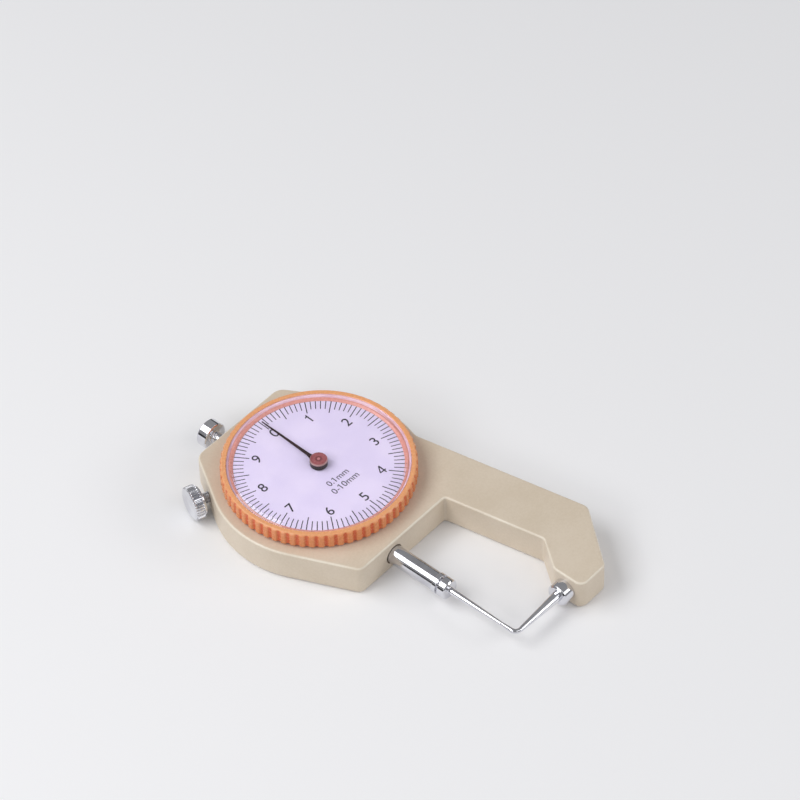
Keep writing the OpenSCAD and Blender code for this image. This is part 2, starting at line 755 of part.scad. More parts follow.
module spindle() {
    flat_l = shoulder_y - rack_bottom_y + spindle_r;
    color([0.80, 0.81, 0.83]) difference() {
        union() {
            along_spindle(stem_end_y, shoulder_y, spindle_r);
            along_spindle(shoulder_y, knob_y - knob_collar_l, tail_r);
            along_spindle(knob_y - knob_collar_l, knob_y + knob_thread_l, thread_r);
        }
        along_spindle(stem_end_y - cut, stem_end_y + point_thread_l, thread_r);
        translate([rack_seat_x, shoulder_y - flat_l, 0]) cube([spindle_d, flat_l, body_t]);
        translate([-spindle_x, -guide_pin_y, axis_z]) rotate([0, -90, 0])
            cylinder(h = spindle_d, r = guide_pin_r);
    }
}

// Strip with straight-flanked teeth whose pitch line touches the pinion's pitch circle
module rack() {
    half = tooth_pitch / 4 - backlash / 4;
    tip_x = -pinion_r + addendum;
    root_x = -pinion_r - dedendum;
    tip_half = half - addendum * tan(pressure_a);
    root_half = half + dedendum * tan(pressure_a);
    color([0.72, 0.73, 0.76]) translate([0, 0, axis_z - gear_w / 2]) linear_extrude(gear_w)
        polygon(concat(
            [[rack_seat_x, rack_bottom_y], [root_x, rack_bottom_y]],
            [for (k = [-rack_teeth_down:rack_teeth_up]) let (y = k * tooth_pitch) each [
                [root_x, y - root_half], [tip_x, y - tip_half],
                [tip_x, y + tip_half], [root_x, y + root_half]
            ]],
            [[root_x, shoulder_y], [rack_seat_x, shoulder_y]]
        ));
}

module needle_point() {
    ring_l = 1.25;
    rim = 0.3;
    collar_r = collar_d / 2;
    ring_end_y = stem_end_y - ring_l;
    color([0.82, 0.83, 0.85]) {
        along_spindle(stem_end_y, stem_end_y + point_thread_l, thread_r);
        along_spindle(ring_end_y, stem_end_y, collar_r);
        along_spindle(ring_end_y - neck_l, ring_end_y, neck_r);
        along_spindle(collar_end_y + rim, ring_end_y - neck_l, collar_r);
        along_spindle(collar_end_y, collar_end_y + rim, collar_r - rim, collar_r);
        along_spindle(contact_y, collar_end_y, needle_tip_d / 2, needle_d / 2);
    }
}

module lift_knob() {
    rim = 0.35;
    r = knob_d / 2;
    collar_r = tail_r + 2 * rim;
    inner = knob_y - knob_collar_l;
    outer = knob_y + knob_t;
    color([0.84, 0.85, 0.87]) translate([-spindle_x, 0, axis_z]) rotate([-90, 0, 0]) difference() {
        rotate_extrude() polygon([
            [0, inner], [collar_r - rim / 2, inner], [collar_r, inner + rim / 2], [collar_r, knob_y],
            [r - rim, knob_y], [r, knob_y + rim], [r, outer - rim], [r - rim, outer],
            [r / 2, outer + rim / 2], [0, outer + rim / 2]
        ]);
        rod(inner - cut, knob_y + knob_thread_l, thread_r);
    }
}

module guide_pin() {
    pin_l = rail_x + rail_t;
    color([0.72, 0.73, 0.76]) translate([-spindle_x, -guide_pin_y, axis_z]) rotate([0, -90, 0])
        cylinder(h = pin_l, r = guide_pin_r);
}

module arbor() {
    color([0.78, 0.79, 0.82]) {
        rod(bridge_z, bridge_z + bridge_t + seat_gap, pivot_r);
        rod(bridge_z + bridge_t + seat_gap, dial_z + hub_top - side_play, arbor_r);
    }
}

module pinion() {
    face_w = gear_w + 2 * side_play;
    color([0.80, 0.66, 0.36]) translate([0, 0, axis_z - face_w / 2]) linear_extrude(face_w)
        difference() {
            polygon([for (i = [0:pinion_n - 1]) let (mid = 360 * (i + 0.5) / pinion_n) each concat(
                [polar(root_r, mid - half_tooth(base_r) * 1.1)],
                [for (k = [0:flank_steps]) let (r = base_r + (tip_r - base_r) * k / flank_steps)
                    polar(r, mid - half_tooth(r))],
                [for (k = [flank_steps:-1:0]) let (r = base_r + (tip_r - base_r) * k / flank_steps)
                    polar(r, mid + half_tooth(r))],
                [polar(root_r, mid + half_tooth(base_r) * 1.1)]
            )]);
            circle(r = arbor_r);
        }
}

module pointer_hub() {
    top = dial_z + hub_top;
    rim = 0.2;
    color([0.45, 0.25, 0.22]) difference() {
        union() {
            rod(top - hub_h, top - rim, hub_r);
            translate([0, 0, top - rim]) cylinder(h = rim, r1 = hub_r, r2 = hub_r - rim);
        }
        rod(top - hub_h - cut, top + cut, arbor_r);
        blade();
    }
}

// Tapered blade from the arbor to the scale, at zero
module blade() {
    half_w = pointer_w / 2;
    half_tip = pointer_tip_w / 2;
    rotate(-zero_turn) translate([0, 0, pointer_z - pointer_t / 2]) linear_extrude(pointer_t) polygon([
        [-half_w, arbor_r], [half_w, arbor_r], [half_w, hub_r],
        [half_tip, pointer_l], [-half_tip, pointer_l], [-half_w, hub_r]
    ]);
}

module pointer() {
    color([0.06, 0.06, 0.07]) blade();
}

module hairspring_collet() {
    over = 2 * side_play;
    color([0.80, 0.66, 0.36]) tube(hair_z - over, hair_z + hair_h + over, collet_r, arbor_r);
}

module bezel() {
    ring_z = bezel_top - bezel_ring_h;
    ring_r = bezel_r - 0.2;
    rim = 0.5;
    color([0.88, 0.58, 0.36]) difference() {
        union() {
            translate([0, 0, bezel_z]) linear_extrude(ring_z - bezel_z) difference() {
                circle(r = bezel_r);
                for (i = [0:flute_n - 1]) rotate(360 * i / flute_n - zero_turn)
                    translate([bezel_r - flute_depth + flute_r, 0]) circle(r = flute_r);
            }
            rod(ring_z, bezel_top - rim, ring_r);
            translate([0, 0, bezel_top - rim]) cylinder(h = rim, r1 = ring_r, r2 = ring_r - rim);
        }
        rod(bezel_z - cut, bezel_top, bezel_bore_r);
        rod(dial_z - dial_t, bezel_top, dial_r + seat_gap);
        rod(dial_z, bezel_top + cut, crystal_r + seat_gap);
        rotate_extrude() translate([snap_r, snap_z]) circle(r = snap_wire_r + snap_room);
    }
}

module crystal() {
    edge_top = bezel_top + side_play;
    inner_r = dome_r - side_play;
    rim_z = crystal_top - dome_rise;
    function dome(r, drop) = crystal_top - drop - dome_sphere_r + sqrt(pow(dome_sphere_r, 2) - r * r);
    color([0.86, 0.90, 0.95, 0.35]) rotate_extrude() polygon(concat(
        [[inner_r, dial_z], [crystal_r, dial_z], [crystal_r, edge_top], [dome_r, rim_z]],
        [for (k = [1:dome_steps]) let (r = dome_r * (1 - k / dome_steps)) [r, dome(r, 0)]],
        [for (k = [0:dome_steps]) let (r = (inner_r - crystal_t / 2) * k / dome_steps)
            [r, dome(r, crystal_t)]]
    ));
}

module dial_plate() {
    color([0.90, 0.88, 0.96]) tube(dial_z - dial_t, dial_z, dial_r, arbor_r + 2 * free_gap);
}

// Pin that the screw pushes, its end cut to lie along the spindle's tail
module lock_pad() {
    color([0.80, 0.66, 0.36]) difference() {
        on_lock_axis() rod(lock_depth + seat_gap, lock_reach, lock_pad_r);
        translate([-spindle_x - tail_r - lock_gap, 0, 0]) cube([chamber_r, knob_face_y, body_t]);
    }
}

module lock_screw() {
    rim = 0.3;
    core_r = lock_head_r - knurl_depth;
    flange_r = core_r - rim / 2;
    color([0.84, 0.85, 0.87]) on_lock_axis() {
        rod(-lock_head_gap, lock_depth, lock_thread_r);
        rod(-lock_head_gap - lock_flange_t, -lock_head_gap, flange_r);
        translate([0, 0, -lock_head_gap - lock_flange_t - knurl_t]) linear_extrude(knurl_t)
            polygon([for (i = [0:knurl_n - 1]) let (a = 360 * i / knurl_n, w = 360 / knurl_n) each [
                polar(core_r, a), polar(lock_head_r, a + w / 3), polar(lock_head_r, a + 2 * w / 3)]]);
        translate([0, 0, -lock_head_gap - lock_head_t - rim])
            cylinder(h = rim, r1 = flange_r - rim, r2 = flange_r);
    }
}

frame();
back_cover();
cover_screws();
upper_bush();
lower_bush();
arbor_bush();
lower_bridge();
bridge_screws();
hairspring();
hairspring_stud();
spring_post();
return_spring();
guide_rail();
rail_screws();
anvil_post();
anvil_point();
bezel_snap_ring();
spindle();
rack();
needle_point();
lift_knob();
guide_pin();
arbor();
pinion();
pointer_hub();
pointer();
hairspring_collet();
bezel();
crystal();
dial_plate();
lock_pad();
lock_screw();
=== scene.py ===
import json
import math

import bmesh
import bpy
import numpy as np
from mathutils import Matrix, Vector


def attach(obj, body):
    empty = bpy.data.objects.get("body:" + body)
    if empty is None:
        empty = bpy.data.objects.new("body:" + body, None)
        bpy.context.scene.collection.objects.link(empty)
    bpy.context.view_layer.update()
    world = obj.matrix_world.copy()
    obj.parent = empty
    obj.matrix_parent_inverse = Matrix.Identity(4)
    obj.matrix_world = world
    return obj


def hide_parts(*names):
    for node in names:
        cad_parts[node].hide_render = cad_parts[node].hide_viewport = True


# sizes are in millimetres and angles in degrees, unless a note says otherwise; Blender works in metres
mm = 0.001
sharpBend = 38                           # edges that bend more than this stay sharp
weld = {"seam": 2e-7, "sliver": 1e-8}    # points and edges nearer than this are joined, in metres
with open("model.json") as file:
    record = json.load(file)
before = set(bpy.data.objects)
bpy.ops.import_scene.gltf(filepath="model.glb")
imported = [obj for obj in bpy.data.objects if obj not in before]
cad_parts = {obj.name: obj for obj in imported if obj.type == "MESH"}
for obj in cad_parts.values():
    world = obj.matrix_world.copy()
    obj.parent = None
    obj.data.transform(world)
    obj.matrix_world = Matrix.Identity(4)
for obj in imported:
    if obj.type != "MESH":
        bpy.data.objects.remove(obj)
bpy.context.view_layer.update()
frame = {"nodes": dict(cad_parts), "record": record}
print("frame loaded:", len(frame["nodes"]), "solids")


# shared maths

def unit(v):
    # vectors of length 1; a zero vector stays zero
    return v / np.maximum(np.linalg.norm(v, axis=-1, keepdims=True), 1e-12)


def smooth(x):
    # cubic step: 0 below 0, 1 above 1, level at both ends
    x = np.clip(x, 0.0, 1.0)
    return x * x * (3.0 - 2.0 * x)


def roundCorners(corners, steps, ease, closed=False):
    # Each row is x, y, radius. A corner becomes an exact arc, the rational quadratic curve between its two
    # tangent points whose middle weight is the sine of half the angle between its sides. One more point
    # stands beside each end of the arc, so that the flats stay flat when shaded smooth.
    # Gives the points and, for a counter-clockwise outline, their outward normals.
    rows = np.array(corners, float)
    p, r = rows[:, :2], rows[:, 2:]
    before, after = np.roll(p, 1, 0), np.roll(p, -1, 0)
    if not closed:
        before[0] = 2 * p[0] - p[1]
        after[-1] = 2 * p[-1] - p[-2]
    u, v = unit(before - p), unit(after - p)
    half = np.arccos(np.clip((u * v).sum(1, keepdims=True), -1, 1)) / 2
    reach = r / np.tan(half)
    first, last = p + u * reach, p + v * reach
    t = np.linspace(0, 1, steps)[:, None, None]
    weight = np.sin(half)
    bend = (1 - t) ** 2 * first + 2 * weight * t * (1 - t) * p + t ** 2 * last
    arc = bend / ((1 - t) ** 2 + 2 * weight * t * (1 - t) + t ** 2)
    turn = np.sign(u[:, 1:] * v[:, :1] - u[:, :1] * v[:, 1:])
    tangent = unit(last - first)
    radial = unit(arc - (p + unit(u + v + 1e-12) * r / np.sin(half)))
    normal = np.where(np.abs(turn) > 0.5, radial * turn, np.stack([tangent[:, 1], -tangent[:, 0]], 1))
    points = np.concatenate([(first + u * ease)[None], arc, (last + v * ease)[None]])
    normal = np.concatenate([normal[:1], normal, normal[-1:]])
    if not closed:
        points = points.transpose(1, 0, 2)[1:-1].reshape(-1, 2)
        return np.concatenate([p[:1], points, p[-1:]]), None
    return points.transpose(1, 0, 2).reshape(-1, 2), normal.transpose(1, 0, 2).reshape(-1, 2)


def axisFrame(origin, axis, side=(0, 0, 1)):
    # three columns: two directions across the axis, then the axis itself
    along = unit(np.array(axis, float))
    across = unit(np.cross(np.array(side, float), along))
    return np.array(origin, float), np.stack([np.cross(along, across), across, along], 1)


# meshes

def addPiece(name, points, faces, body, finish, nodes=(), sharp=sharpBend):
    mesh = bpy.data.meshes.new(name)
    mesh.from_pydata((np.asarray(points) * mm).tolist(), [], faces)
    piece = bpy.data.objects.new(name, mesh)
    bpy.context.scene.collection.objects.link(piece)
    cleanMesh(mesh)
    mesh.shade_smooth()
    mesh.set_sharp_from_angle(angle=math.radians(sharp))
    dress(piece, finish)
    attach(piece, body)
    if nodes:
        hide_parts(*nodes)
    return piece


def cleanMesh(mesh):
    # closes seams and poles, then turns every face outwards
    work = bmesh.new()
    work.from_mesh(mesh)
    bmesh.ops.remove_doubles(work, verts=work.verts, dist=weld["seam"])
    bmesh.ops.dissolve_degenerate(work, edges=work.edges, dist=weld["sliver"])
    bmesh.ops.recalc_face_normals(work, faces=work.faces)
    work.to_mesh(mesh)
    work.free()


def dress(piece, finish):
    piece.data.materials.clear()
    piece.data.materials.append(finishes[finish])


def gridFaces(rows, columns, closeRows=False):
    # quads between neighbouring rows and columns of a point grid whose columns run round
    i = np.arange(rows if closeRows else rows - 1)[:, None]
    j = np.arange(columns)[None, :]
    i2, j2 = (i + 1) % rows, (j + 1) % columns
    ring = [i * columns + j, i * columns + j2, i2 * columns + j2, i2 * columns + j]
    return np.stack(np.broadcast_arrays(*ring), -1).reshape(-1, 4).tolist()


def gridPiece(name, grid, body, finish, nodes=(), closeRows=False, caps=False, sharp=sharpBend):
    # grid is rows x columns x 3, its columns run round; caps closes the first and the last row
    rows, columns = grid.shape[:2]
    faces = gridFaces(rows, columns, closeRows)
    if caps:
        faces.append(list(range(columns)))
        faces.append(list(range((rows - 1) * columns, rows * columns)))
    return addPiece(name, grid.reshape(-1, 3), faces, body, finish, nodes, sharp)


def revolve(profile, place, segments, wave=None):
    # Turned surface: a profile of radius and height carried round the axis. wave(angle, radius, height)
    # may change the radius, for flutes, knurls and threads.
    origin, directions = place
    angle = np.linspace(0, 2 * np.pi, segments, endpoint=False)[None, :]
    radius, height = profile[:, :1], profile[:, 1:2]
    reach = radius + 0 * angle if wave is None else wave(angle, radius, height)
    local = np.stack([reach * np.cos(angle), reach * np.sin(angle), height + 0 * angle], -1)
    return origin + local @ directions.T


def carve(piece, points, faces):
    # takes the volume of a second closed shape out of the piece
    mesh = bpy.data.meshes.new("cutter")
    mesh.from_pydata((np.asarray(points) * mm).tolist(), [], faces)
    cleanMesh(mesh)
    tool = bpy.data.objects.new("cutter", mesh)
    bpy.context.scene.collection.objects.link(tool)
    cut = piece.modifiers.new("cut", "BOOLEAN")
    cut.operation = "DIFFERENCE"
    cut.solver = "EXACT"
    cut.object = tool
    graph = bpy.context.evaluated_depsgraph_get()
    carved = bpy.data.meshes.new_from_object(piece.evaluated_get(graph))
    piece.modifiers.remove(cut)
    old = piece.data
    piece.data = carved
    carved.name = piece.name
    bpy.data.objects.remove(tool)
    bpy.data.meshes.remove(old)
    carved.set_sharp_from_angle(angle=math.radians(sharpBend))


def rodShape(place, start, end, radius, segments):
    # plain round bar, for cutting
    profile = np.array([[0, start], [radius, start], [radius, end], [0, end]], float)
    grid = revolve(profile, place, segments)
    return grid.reshape(-1, 3), gridFaces(len(profile), segments)


def boxShape(low, high):
    # plain block between two corners, for cutting
    corners = np.stack(np.meshgrid(*zip(low, high), indexing="ij"), -1).reshape(-1, 3)
    faces = [[0, 1, 3, 2], [4, 6, 7, 5], [0, 4, 5, 1], [2, 3, 7, 6], [0, 2, 6, 4], [1, 5, 7, 3]]
    return corners, faces


# shader maths

class Wire:
    # one output of a shader node, so that maths on it reads as plain expressions
    def __init__(self, tree, socket=None):
        self.tree = tree
        self.socket = socket

    def node(self, kind, out=0, settings=None, **sockets):
        # adds a node; a socket is named, or numbered as i0, i1 and so on
        made = self.tree.nodes.new(kind)
        for key, value in (settings or {}).items():
            setattr(made, key, value)
        for key, value in sockets.items():
            socket = made.inputs[int(key[1:])] if key[0] == "i" and key[1:].isdigit() else made.inputs[key]
            if isinstance(value, Wire):
                self.tree.links.new(value.socket, socket)
            else:
                socket.default_value = value
        return Wire(self.tree, made.outputs[out])

    def maths(self, operation, a, b):
        return self.node("ShaderNodeMath", settings={"operation": operation}, i0=a, i1=b)

    def __add__(self, other):
        return self.maths("ADD", self, other)

    def __radd__(self, other):
        return self.maths("ADD", other, self)

    def __sub__(self, other):
        return self.maths("SUBTRACT", self, other)

    def __rsub__(self, other):
        return self.maths("SUBTRACT", other, self)

    def __mul__(self, other):
        return self.maths("MULTIPLY", self, other)

    def __rmul__(self, other):
        return self.maths("MULTIPLY", other, self)

    def __pow__(self, other):
        return self.maths("POWER", self, other)

    def step(self, low, high):
        # smooth rise from 0 to 1 between low and high
        return self.node("ShaderNodeMapRange", settings={"interpolation_type": "SMOOTHSTEP"},
                         i0=self, i1=low, i2=high)

    def blend(self, a, b):
        # colour a where this is 0, colour b where it is 1
        return self.node("ShaderNodeMix", 2, {"data_type": "RGBA"}, i0=self, i6=a, i7=b)

    def noise(self, scale, detail=2.0, rough=0.5):
        return self.node("ShaderNodeTexNoise", settings={"noise_dimensions": "3D"},
                         Vector=self, Scale=scale, Detail=detail, Roughness=rough)

    def parts(self):
        return [self.node("ShaderNodeSeparateXYZ", k, Vector=self) for k in range(3)]


def tone(red, green, blue):
    # display colour, 0 to 255, as a linear one by the sRGB curve
    c = np.array([red, green, blue]) / 255.0
    linear = np.where(c <= 0.04045, c / 12.92, ((c + 0.055) / 1.055) ** 2.4)
    return (*linear.tolist(), 1.0)


finishes = {}


def newFinish(slot, **constants):
    # a Principled material with its plain values set
    # gives its shader, a pen that adds nodes and the place on the piece
    material = bpy.data.materials.new(slot)
    material.use_nodes = True
    shader = material.node_tree.nodes["Principled BSDF"]
    for key, value in constants.items():
        shader.inputs[key.replace("_", " ")].default_value = value
    finishes[slot] = material
    pen = Wire(material.node_tree)
    return shader, pen, pen.node("ShaderNodeTexCoord", "Object")


def feed(shader, **wires):
    for key, wire in wires.items():
        wire.tree.links.new(wire.socket, shader.inputs[key.replace("_", " ")])


def relief(height, distance, strength):
    return height.node("ShaderNodeBump", Height=height, Distance=distance, Strength=strength)


def roundDial(place):
    # distance from the dial's axis, and height
    x, y, z = place.parts()
    return (x * x + y * y) ** 0.5, z


# Lengths in the finishes are in metres, as the place is. A pair of them is where a mask begins and ends.
# Single values named grain, cloud and the like are noise scales.

# edge is the colour of a painted highlight along the front rounded edge, laid on between the last two pairs
# of heights
paint = {"colour": (222, 208, 189), "deep": (213, 198, 177), "edge": (237, 227, 210), "grain": 1700.0,
         "cloud": 90.0, "speck": 5200.0, "grainHeight": 0.00006, "highlightStart": (0.00845, 0.0087),
         "highlightEnd": (0.0089, 0.00898)}


def paintFinish():
    # satin paint over a casting: a fine pebbled grain, a little uneven in tone, and a painted highlight
    # along the front edge, lighter and glossier
    shader, _, place = newFinish("frame_paint", Specular_IOR_Level=0.45)
    grain = place.noise(paint["grain"], 3.0, 0.6)
    cloud = place.noise(paint["cloud"], 2.0)
    speck = place.noise(paint["speck"], 1.0)
    mask = (0.55 * cloud + 0.45 * grain).step(0.3, 0.7)
    height = roundDial(place)[1]
    # painted highlight: a band over the front rounding, lighter and glossier
    band = height.step(*paint["highlightStart"]) * (1.0 - height.step(*paint["highlightEnd"]))
    edgeHighlight = band * (0.55 + 0.45 * cloud.step(0.35, 0.6))
    base = mask.blend(tone(*paint["deep"]), tone(*paint["colour"]))
    feed(shader, Base_Color=edgeHighlight.blend(base, tone(*paint["edge"])),
         Roughness=0.27 + 0.14 * grain - 0.08 * edgeHighlight,
         Normal=relief(grain + 0.35 * speck, paint["grainHeight"], 0.55))


# groove is painted shade for the flutes' hollows, light a painted highlight for the top of the ring
plastic = {"colour": (229, 148, 98), "groove": (220, 102, 64), "light": (239, 170, 119),
           "lip": (200, 136, 122), "grain": 1600.0, "grainHeight": 0.000003, "wall": (0.0230, 0.0233),
           "wallTop": (0.0130, 0.0134), "ridge": (0.02352, 0.02394), "ring": (0.01310, 0.01360),
           "lipEdge": (0.02163, 0.02175)}


def plasticFinish():
    # moulded plastic: painted shade makes the flutes warmer and deeper, a painted highlight the turned ring
    # lighter; pinkish on the lip
    shader, _, place = newFinish("bezel_orange", Specular_IOR_Level=0.5, IOR=1.49, Subsurface_Weight=0.12,
                                 Subsurface_Scale=0.0012, Subsurface_Radius=(1.0, 0.45, 0.2))
    radius, height = roundDial(place)
    side = radius.step(*plastic["wall"]) * (1.0 - height.step(*plastic["wallTop"]))
    # painted shade: the flutes' hollows take the darker groove colour
    fluteShade = (1.0 - radius.step(*plastic["ridge"])) * side
    # painted highlight: the top of the ring takes the lighter colour
    ring = height.step(*plastic["ring"])
    lip = 1.0 - radius.step(*plastic["lipEdge"])
    grain = place.noise(plastic["grain"], 2.0)
    base = ring.blend(tone(*plastic["colour"]), tone(*plastic["light"]))
    base = lip.blend(base, tone(*plastic["lip"]))
    feed(shader, Base_Color=fluteShade.blend(base, tone(*plastic["groove"])), Roughness=0.21 + 0.12 * grain,
         Normal=relief(grain, plastic["grainHeight"], 0.3))


# both tones are pale pinks; their paleness is a painted reflection
rimTones = {"deep": (204, 164, 176), "light": (214, 180, 194), "cloud": 300.0}


def rimFinish():
    # the window's moulded rim: clear plastic over the orange seat, so pinkish, and pale from a painted
    # reflection; very glossy
    shader, _, place = newFinish("windowRim", Specular_IOR_Level=0.6, IOR=1.49, Coat_Roughness=0.03,
                                 Coat_Weight=0.6)
    cloud = place.noise(rimTones["cloud"], 2.0)
    feed(shader, Base_Color=cloud.step(0.3, 0.7).blend(tone(*rimTones["deep"]), tone(*rimTones["light"])),
         Roughness=0.1 + 0.1 * cloud)


# the window's colours are linear ones
clear = {"tint": (1.0, 0.985, 1.0, 1.0), "shadow": (0.97, 0.96, 0.98, 1.0), "haze": 40.0}


def crystalFinish():
    # clear window that lets light through to the dial
    shader, pen, place = newFinish("clear_crystal", Base_Color=clear["tint"], Transmission_Weight=1.0,
                                   IOR=1.47, Roughness=0.0)
    feed(shader, Roughness=0.012 * place.noise(clear["haze"], 2.0))
    tree = pen.tree
    shadow = pen.node("ShaderNodeLightPath", "Is Shadow Ray")
    passing = pen.node("ShaderNodeBsdfTransparent", Color=clear["shadow"])
    mixed = pen.node("ShaderNodeMixShader", i0=shadow, i1=Wire(tree, shader.outputs[0]), i2=passing)
    tree.links.new(mixed.socket, tree.nodes["Material Output"].inputs["Surface"])


lacquer = {"colour": (208, 201, 223), "shade": (202, 195, 220), "cloud": 120.0, "fine": 4000.0}


def dialFinish():
    # pale lacquer with a faint unevenness
    shader, _, place = newFinish("dial_white", Specular_IOR_Level=0.3)
    cloud = place.noise(lacquer["cloud"], 3.0)
    fine = place.noise(lacquer["fine"], 1.0)
    feed(shader, Base_Color=cloud.step(0.35, 0.65).blend(tone(*lacquer["shade"]), tone(*lacquer["colour"])),
         Roughness=0.5 + 0.1 * fine)


handBlack = {"colour": (34, 13, 18), "worn": (50, 24, 28), "wear": 900.0}


def blackFinish():
    # dull black, worn a little browner
    shader, _, place = newFinish("pointer_black", Specular_IOR_Level=0.08)
    worn = place.noise(handBlack["wear"], 3.0)
    feed(shader, Base_Color=worn.step(0.4, 0.8).blend(tone(*handBlack["colour"]), tone(*handBlack["worn"])),
         Roughness=0.5 + 0.2 * worn)


# the top's two brown-reds are a painted reflection of red surroundings, and the pale pink in the middle is a
# painted highlight
hubTones = {"deep": (126, 60, 62), "light": (144, 78, 80), "ring": (98, 42, 44), "centreHighlight": (174, 118, 118),
            "edge": (168, 138, 132), "side": (30, 14, 12), "turning": 1500.0, "top": (0.01380, 0.01394),
            "edgeStart": (0.00198, 0.00206), "ringStart": (0.00042, 0.0005), "ringEnd": (0.00075, 0.00088),
            "centreHighlightEnd": (0.0003, 0.0004)}


def hubFinish():
    # brown-red top, a painted reflection of red surroundings, with turned rings and a painted highlight in
    # the middle, a bright turned edge and dark sides
    shader, _, place = newFinish("hub_brown", Specular_IOR_Level=0.3)
    radius, height = roundDial(place)
    top = height.step(*hubTones["top"])
    edge = radius.step(*hubTones["edgeStart"]) * top
    line = place.noise(hubTones["turning"], 2.0)
    ring = radius.step(*hubTones["ringStart"]) * (1.0 - radius.step(*hubTones["ringEnd"]))
    # painted highlight in the middle of the top
    centreHighlight = 1.0 - radius.step(*hubTones["centreHighlightEnd"])
    # painted reflection of red surroundings: the top's brown-red, varied by the turning lines
    face = line.step(0.3, 0.7).blend(tone(*hubTones["deep"]), tone(*hubTones["light"]))
    face = centreHighlight.blend(ring.blend(face, tone(*hubTones["ring"])), tone(*hubTones["centreHighlight"]))
    base = top.blend(tone(*hubTones["side"]), face)
    feed(shader, Base_Color=edge.blend(base, tone(*hubTones["edge"])),
         Metallic=0.1 + 0.6 * edge, Roughness=0.34 + 0.12 * line)


metal = {"cloud": 260.0, "fine": 3000.0, "turnedAcross": 40.0, "turnedAlong": 9000.0, "rings": 7000.0,
         "grainHeight": 0.000004}


def metalFinish(slot, colour, dull, rough, turned=0.0, streak=0.0):
    # Bright metal, a little uneven in tone and gloss. turned adds fine rings along Y, streak fine rings
    # round the dial's axis.
    shader, pen, place = newFinish(slot, Metallic=1.0)
    cloud = place.noise(metal["cloud"], 3.0)
    height = place.noise(metal["fine"], 2.0)
    if turned:
        x, y, z = place.parts()
        stretch = pen.node("ShaderNodeCombineXYZ", X=x * metal["turnedAcross"], Y=y * metal["turnedAlong"],
                           Z=z * metal["turnedAcross"])
        height = stretch.noise(1.0, 2.0)
    if streak:
        radius = roundDial(place)[0]
        rings = pen.node("ShaderNodeCombineXYZ", X=radius * metal["rings"], Y=0.0, Z=0.0)
        height = rings.noise(1.0, 3.0)
    feed(shader, Base_Color=cloud.step(0.3, 0.7).blend(tone(*dull), tone(*colour)),
         Roughness=rough * (0.75 + 0.5 * cloud) + 0.05 * height * (turned + streak),
         Normal=relief(height, metal["grainHeight"], 0.10 + 0.35 * (turned + streak)))


ink = {"colour": (18, 16, 24), "thin": (42, 38, 50), "wear": 2500.0}


def inkFinish():
    # printed ink
    shader, _, place = newFinish("printInk", Specular_IOR_Level=0.25)
    thin = place.noise(ink["wear"], 2.0)
    feed(shader, Base_Color=thin.step(0.35, 0.75).blend(tone(*ink["colour"]), tone(*ink["thin"])),
         Roughness=0.5 + 0.2 * thin)


paintFinish()
plasticFinish()
rimFinish()
crystalFinish()
dialFinish()
blackFinish()
hubFinish()
metalFinish("bright_chrome", (232, 232, 236), (216, 216, 222), 0.07)
metalFinish("ground_steel", (222, 222, 227), (204, 204, 210), 0.11, turned=0.25)
metalFinish("screw_steel", (196, 197, 203), (170, 171, 177), 0.24)
metalFinish("spring_steel", (180, 184, 194), (150, 154, 164), 0.28)
metalFinish("blued_spring", (92, 110, 160), (66, 82, 132), 0.25)
metalFinish("bush_brass", (214, 178, 104), (190, 150, 80), 0.22)
metalFinish("cover_metal", (208, 208, 212), (190, 190, 195), 0.30, streak=1.0)
inkFinish()
for part in frame["record"]["subparts"]:
    node = frame["nodes"][part["node"]]
    node.data.materials.clear()
    node.data.materials.append(finishes[part["material_slot"]])
print("finishes ready:", len(finishes))


# frame casting

# corners seen from the dial, Y up: head at the top, foot above the throat, then arm, jaw, toe and heel
casting = {"thick": 9.0, "frontEdge": 0.6, "backEdge": 1.1, "arcSteps": 14, "edgeSteps": 7, "ease": 0.05,
           "housing": 26.5, "head": (14.65, 27.1), "headRound": 3.5, "foot": (16.3, -28.0), "footRound": 2.2,
           "splay": 11.2, "throat": 14.0, "throatRound": 0.8, "throatEnd": -54.7, "armRound": 1.8,
           "armWidth": 14.3, "rootSwing": 2.92, "rootRound": 4.0, "jaw": (13.6, -62.5), "jawRound": 3.0,
           "toe": (22.3, -71.2), "toeRound": 2.2, "heelLean": 51.7, "heelRound": 3.0}


def tangentAngle(x, y, r):
    # direction of the point where a line from (x, y) touches the circle, on its outer side
    return math.atan2(y, x) - math.acos(r / math.hypot(x, y))


def apex(a, b, r):
    # where the tangents at two angles of a circle meet
    reach = r / math.cos((b - a) / 2)
    return (reach * math.cos((a + b) / 2), reach * math.sin((a + b) / 2))


def meet(p, a, q, b):
    # where the line through p at angle a crosses the line through q at angle b
    run = np.array([[math.cos(a), -math.cos(b)], [math.sin(a), -math.sin(b)]])
    t = np.linalg.solve(run, np.subtract(q, p))[0]
    return (p[0] + t * math.cos(a), p[1] + t * math.sin(a))


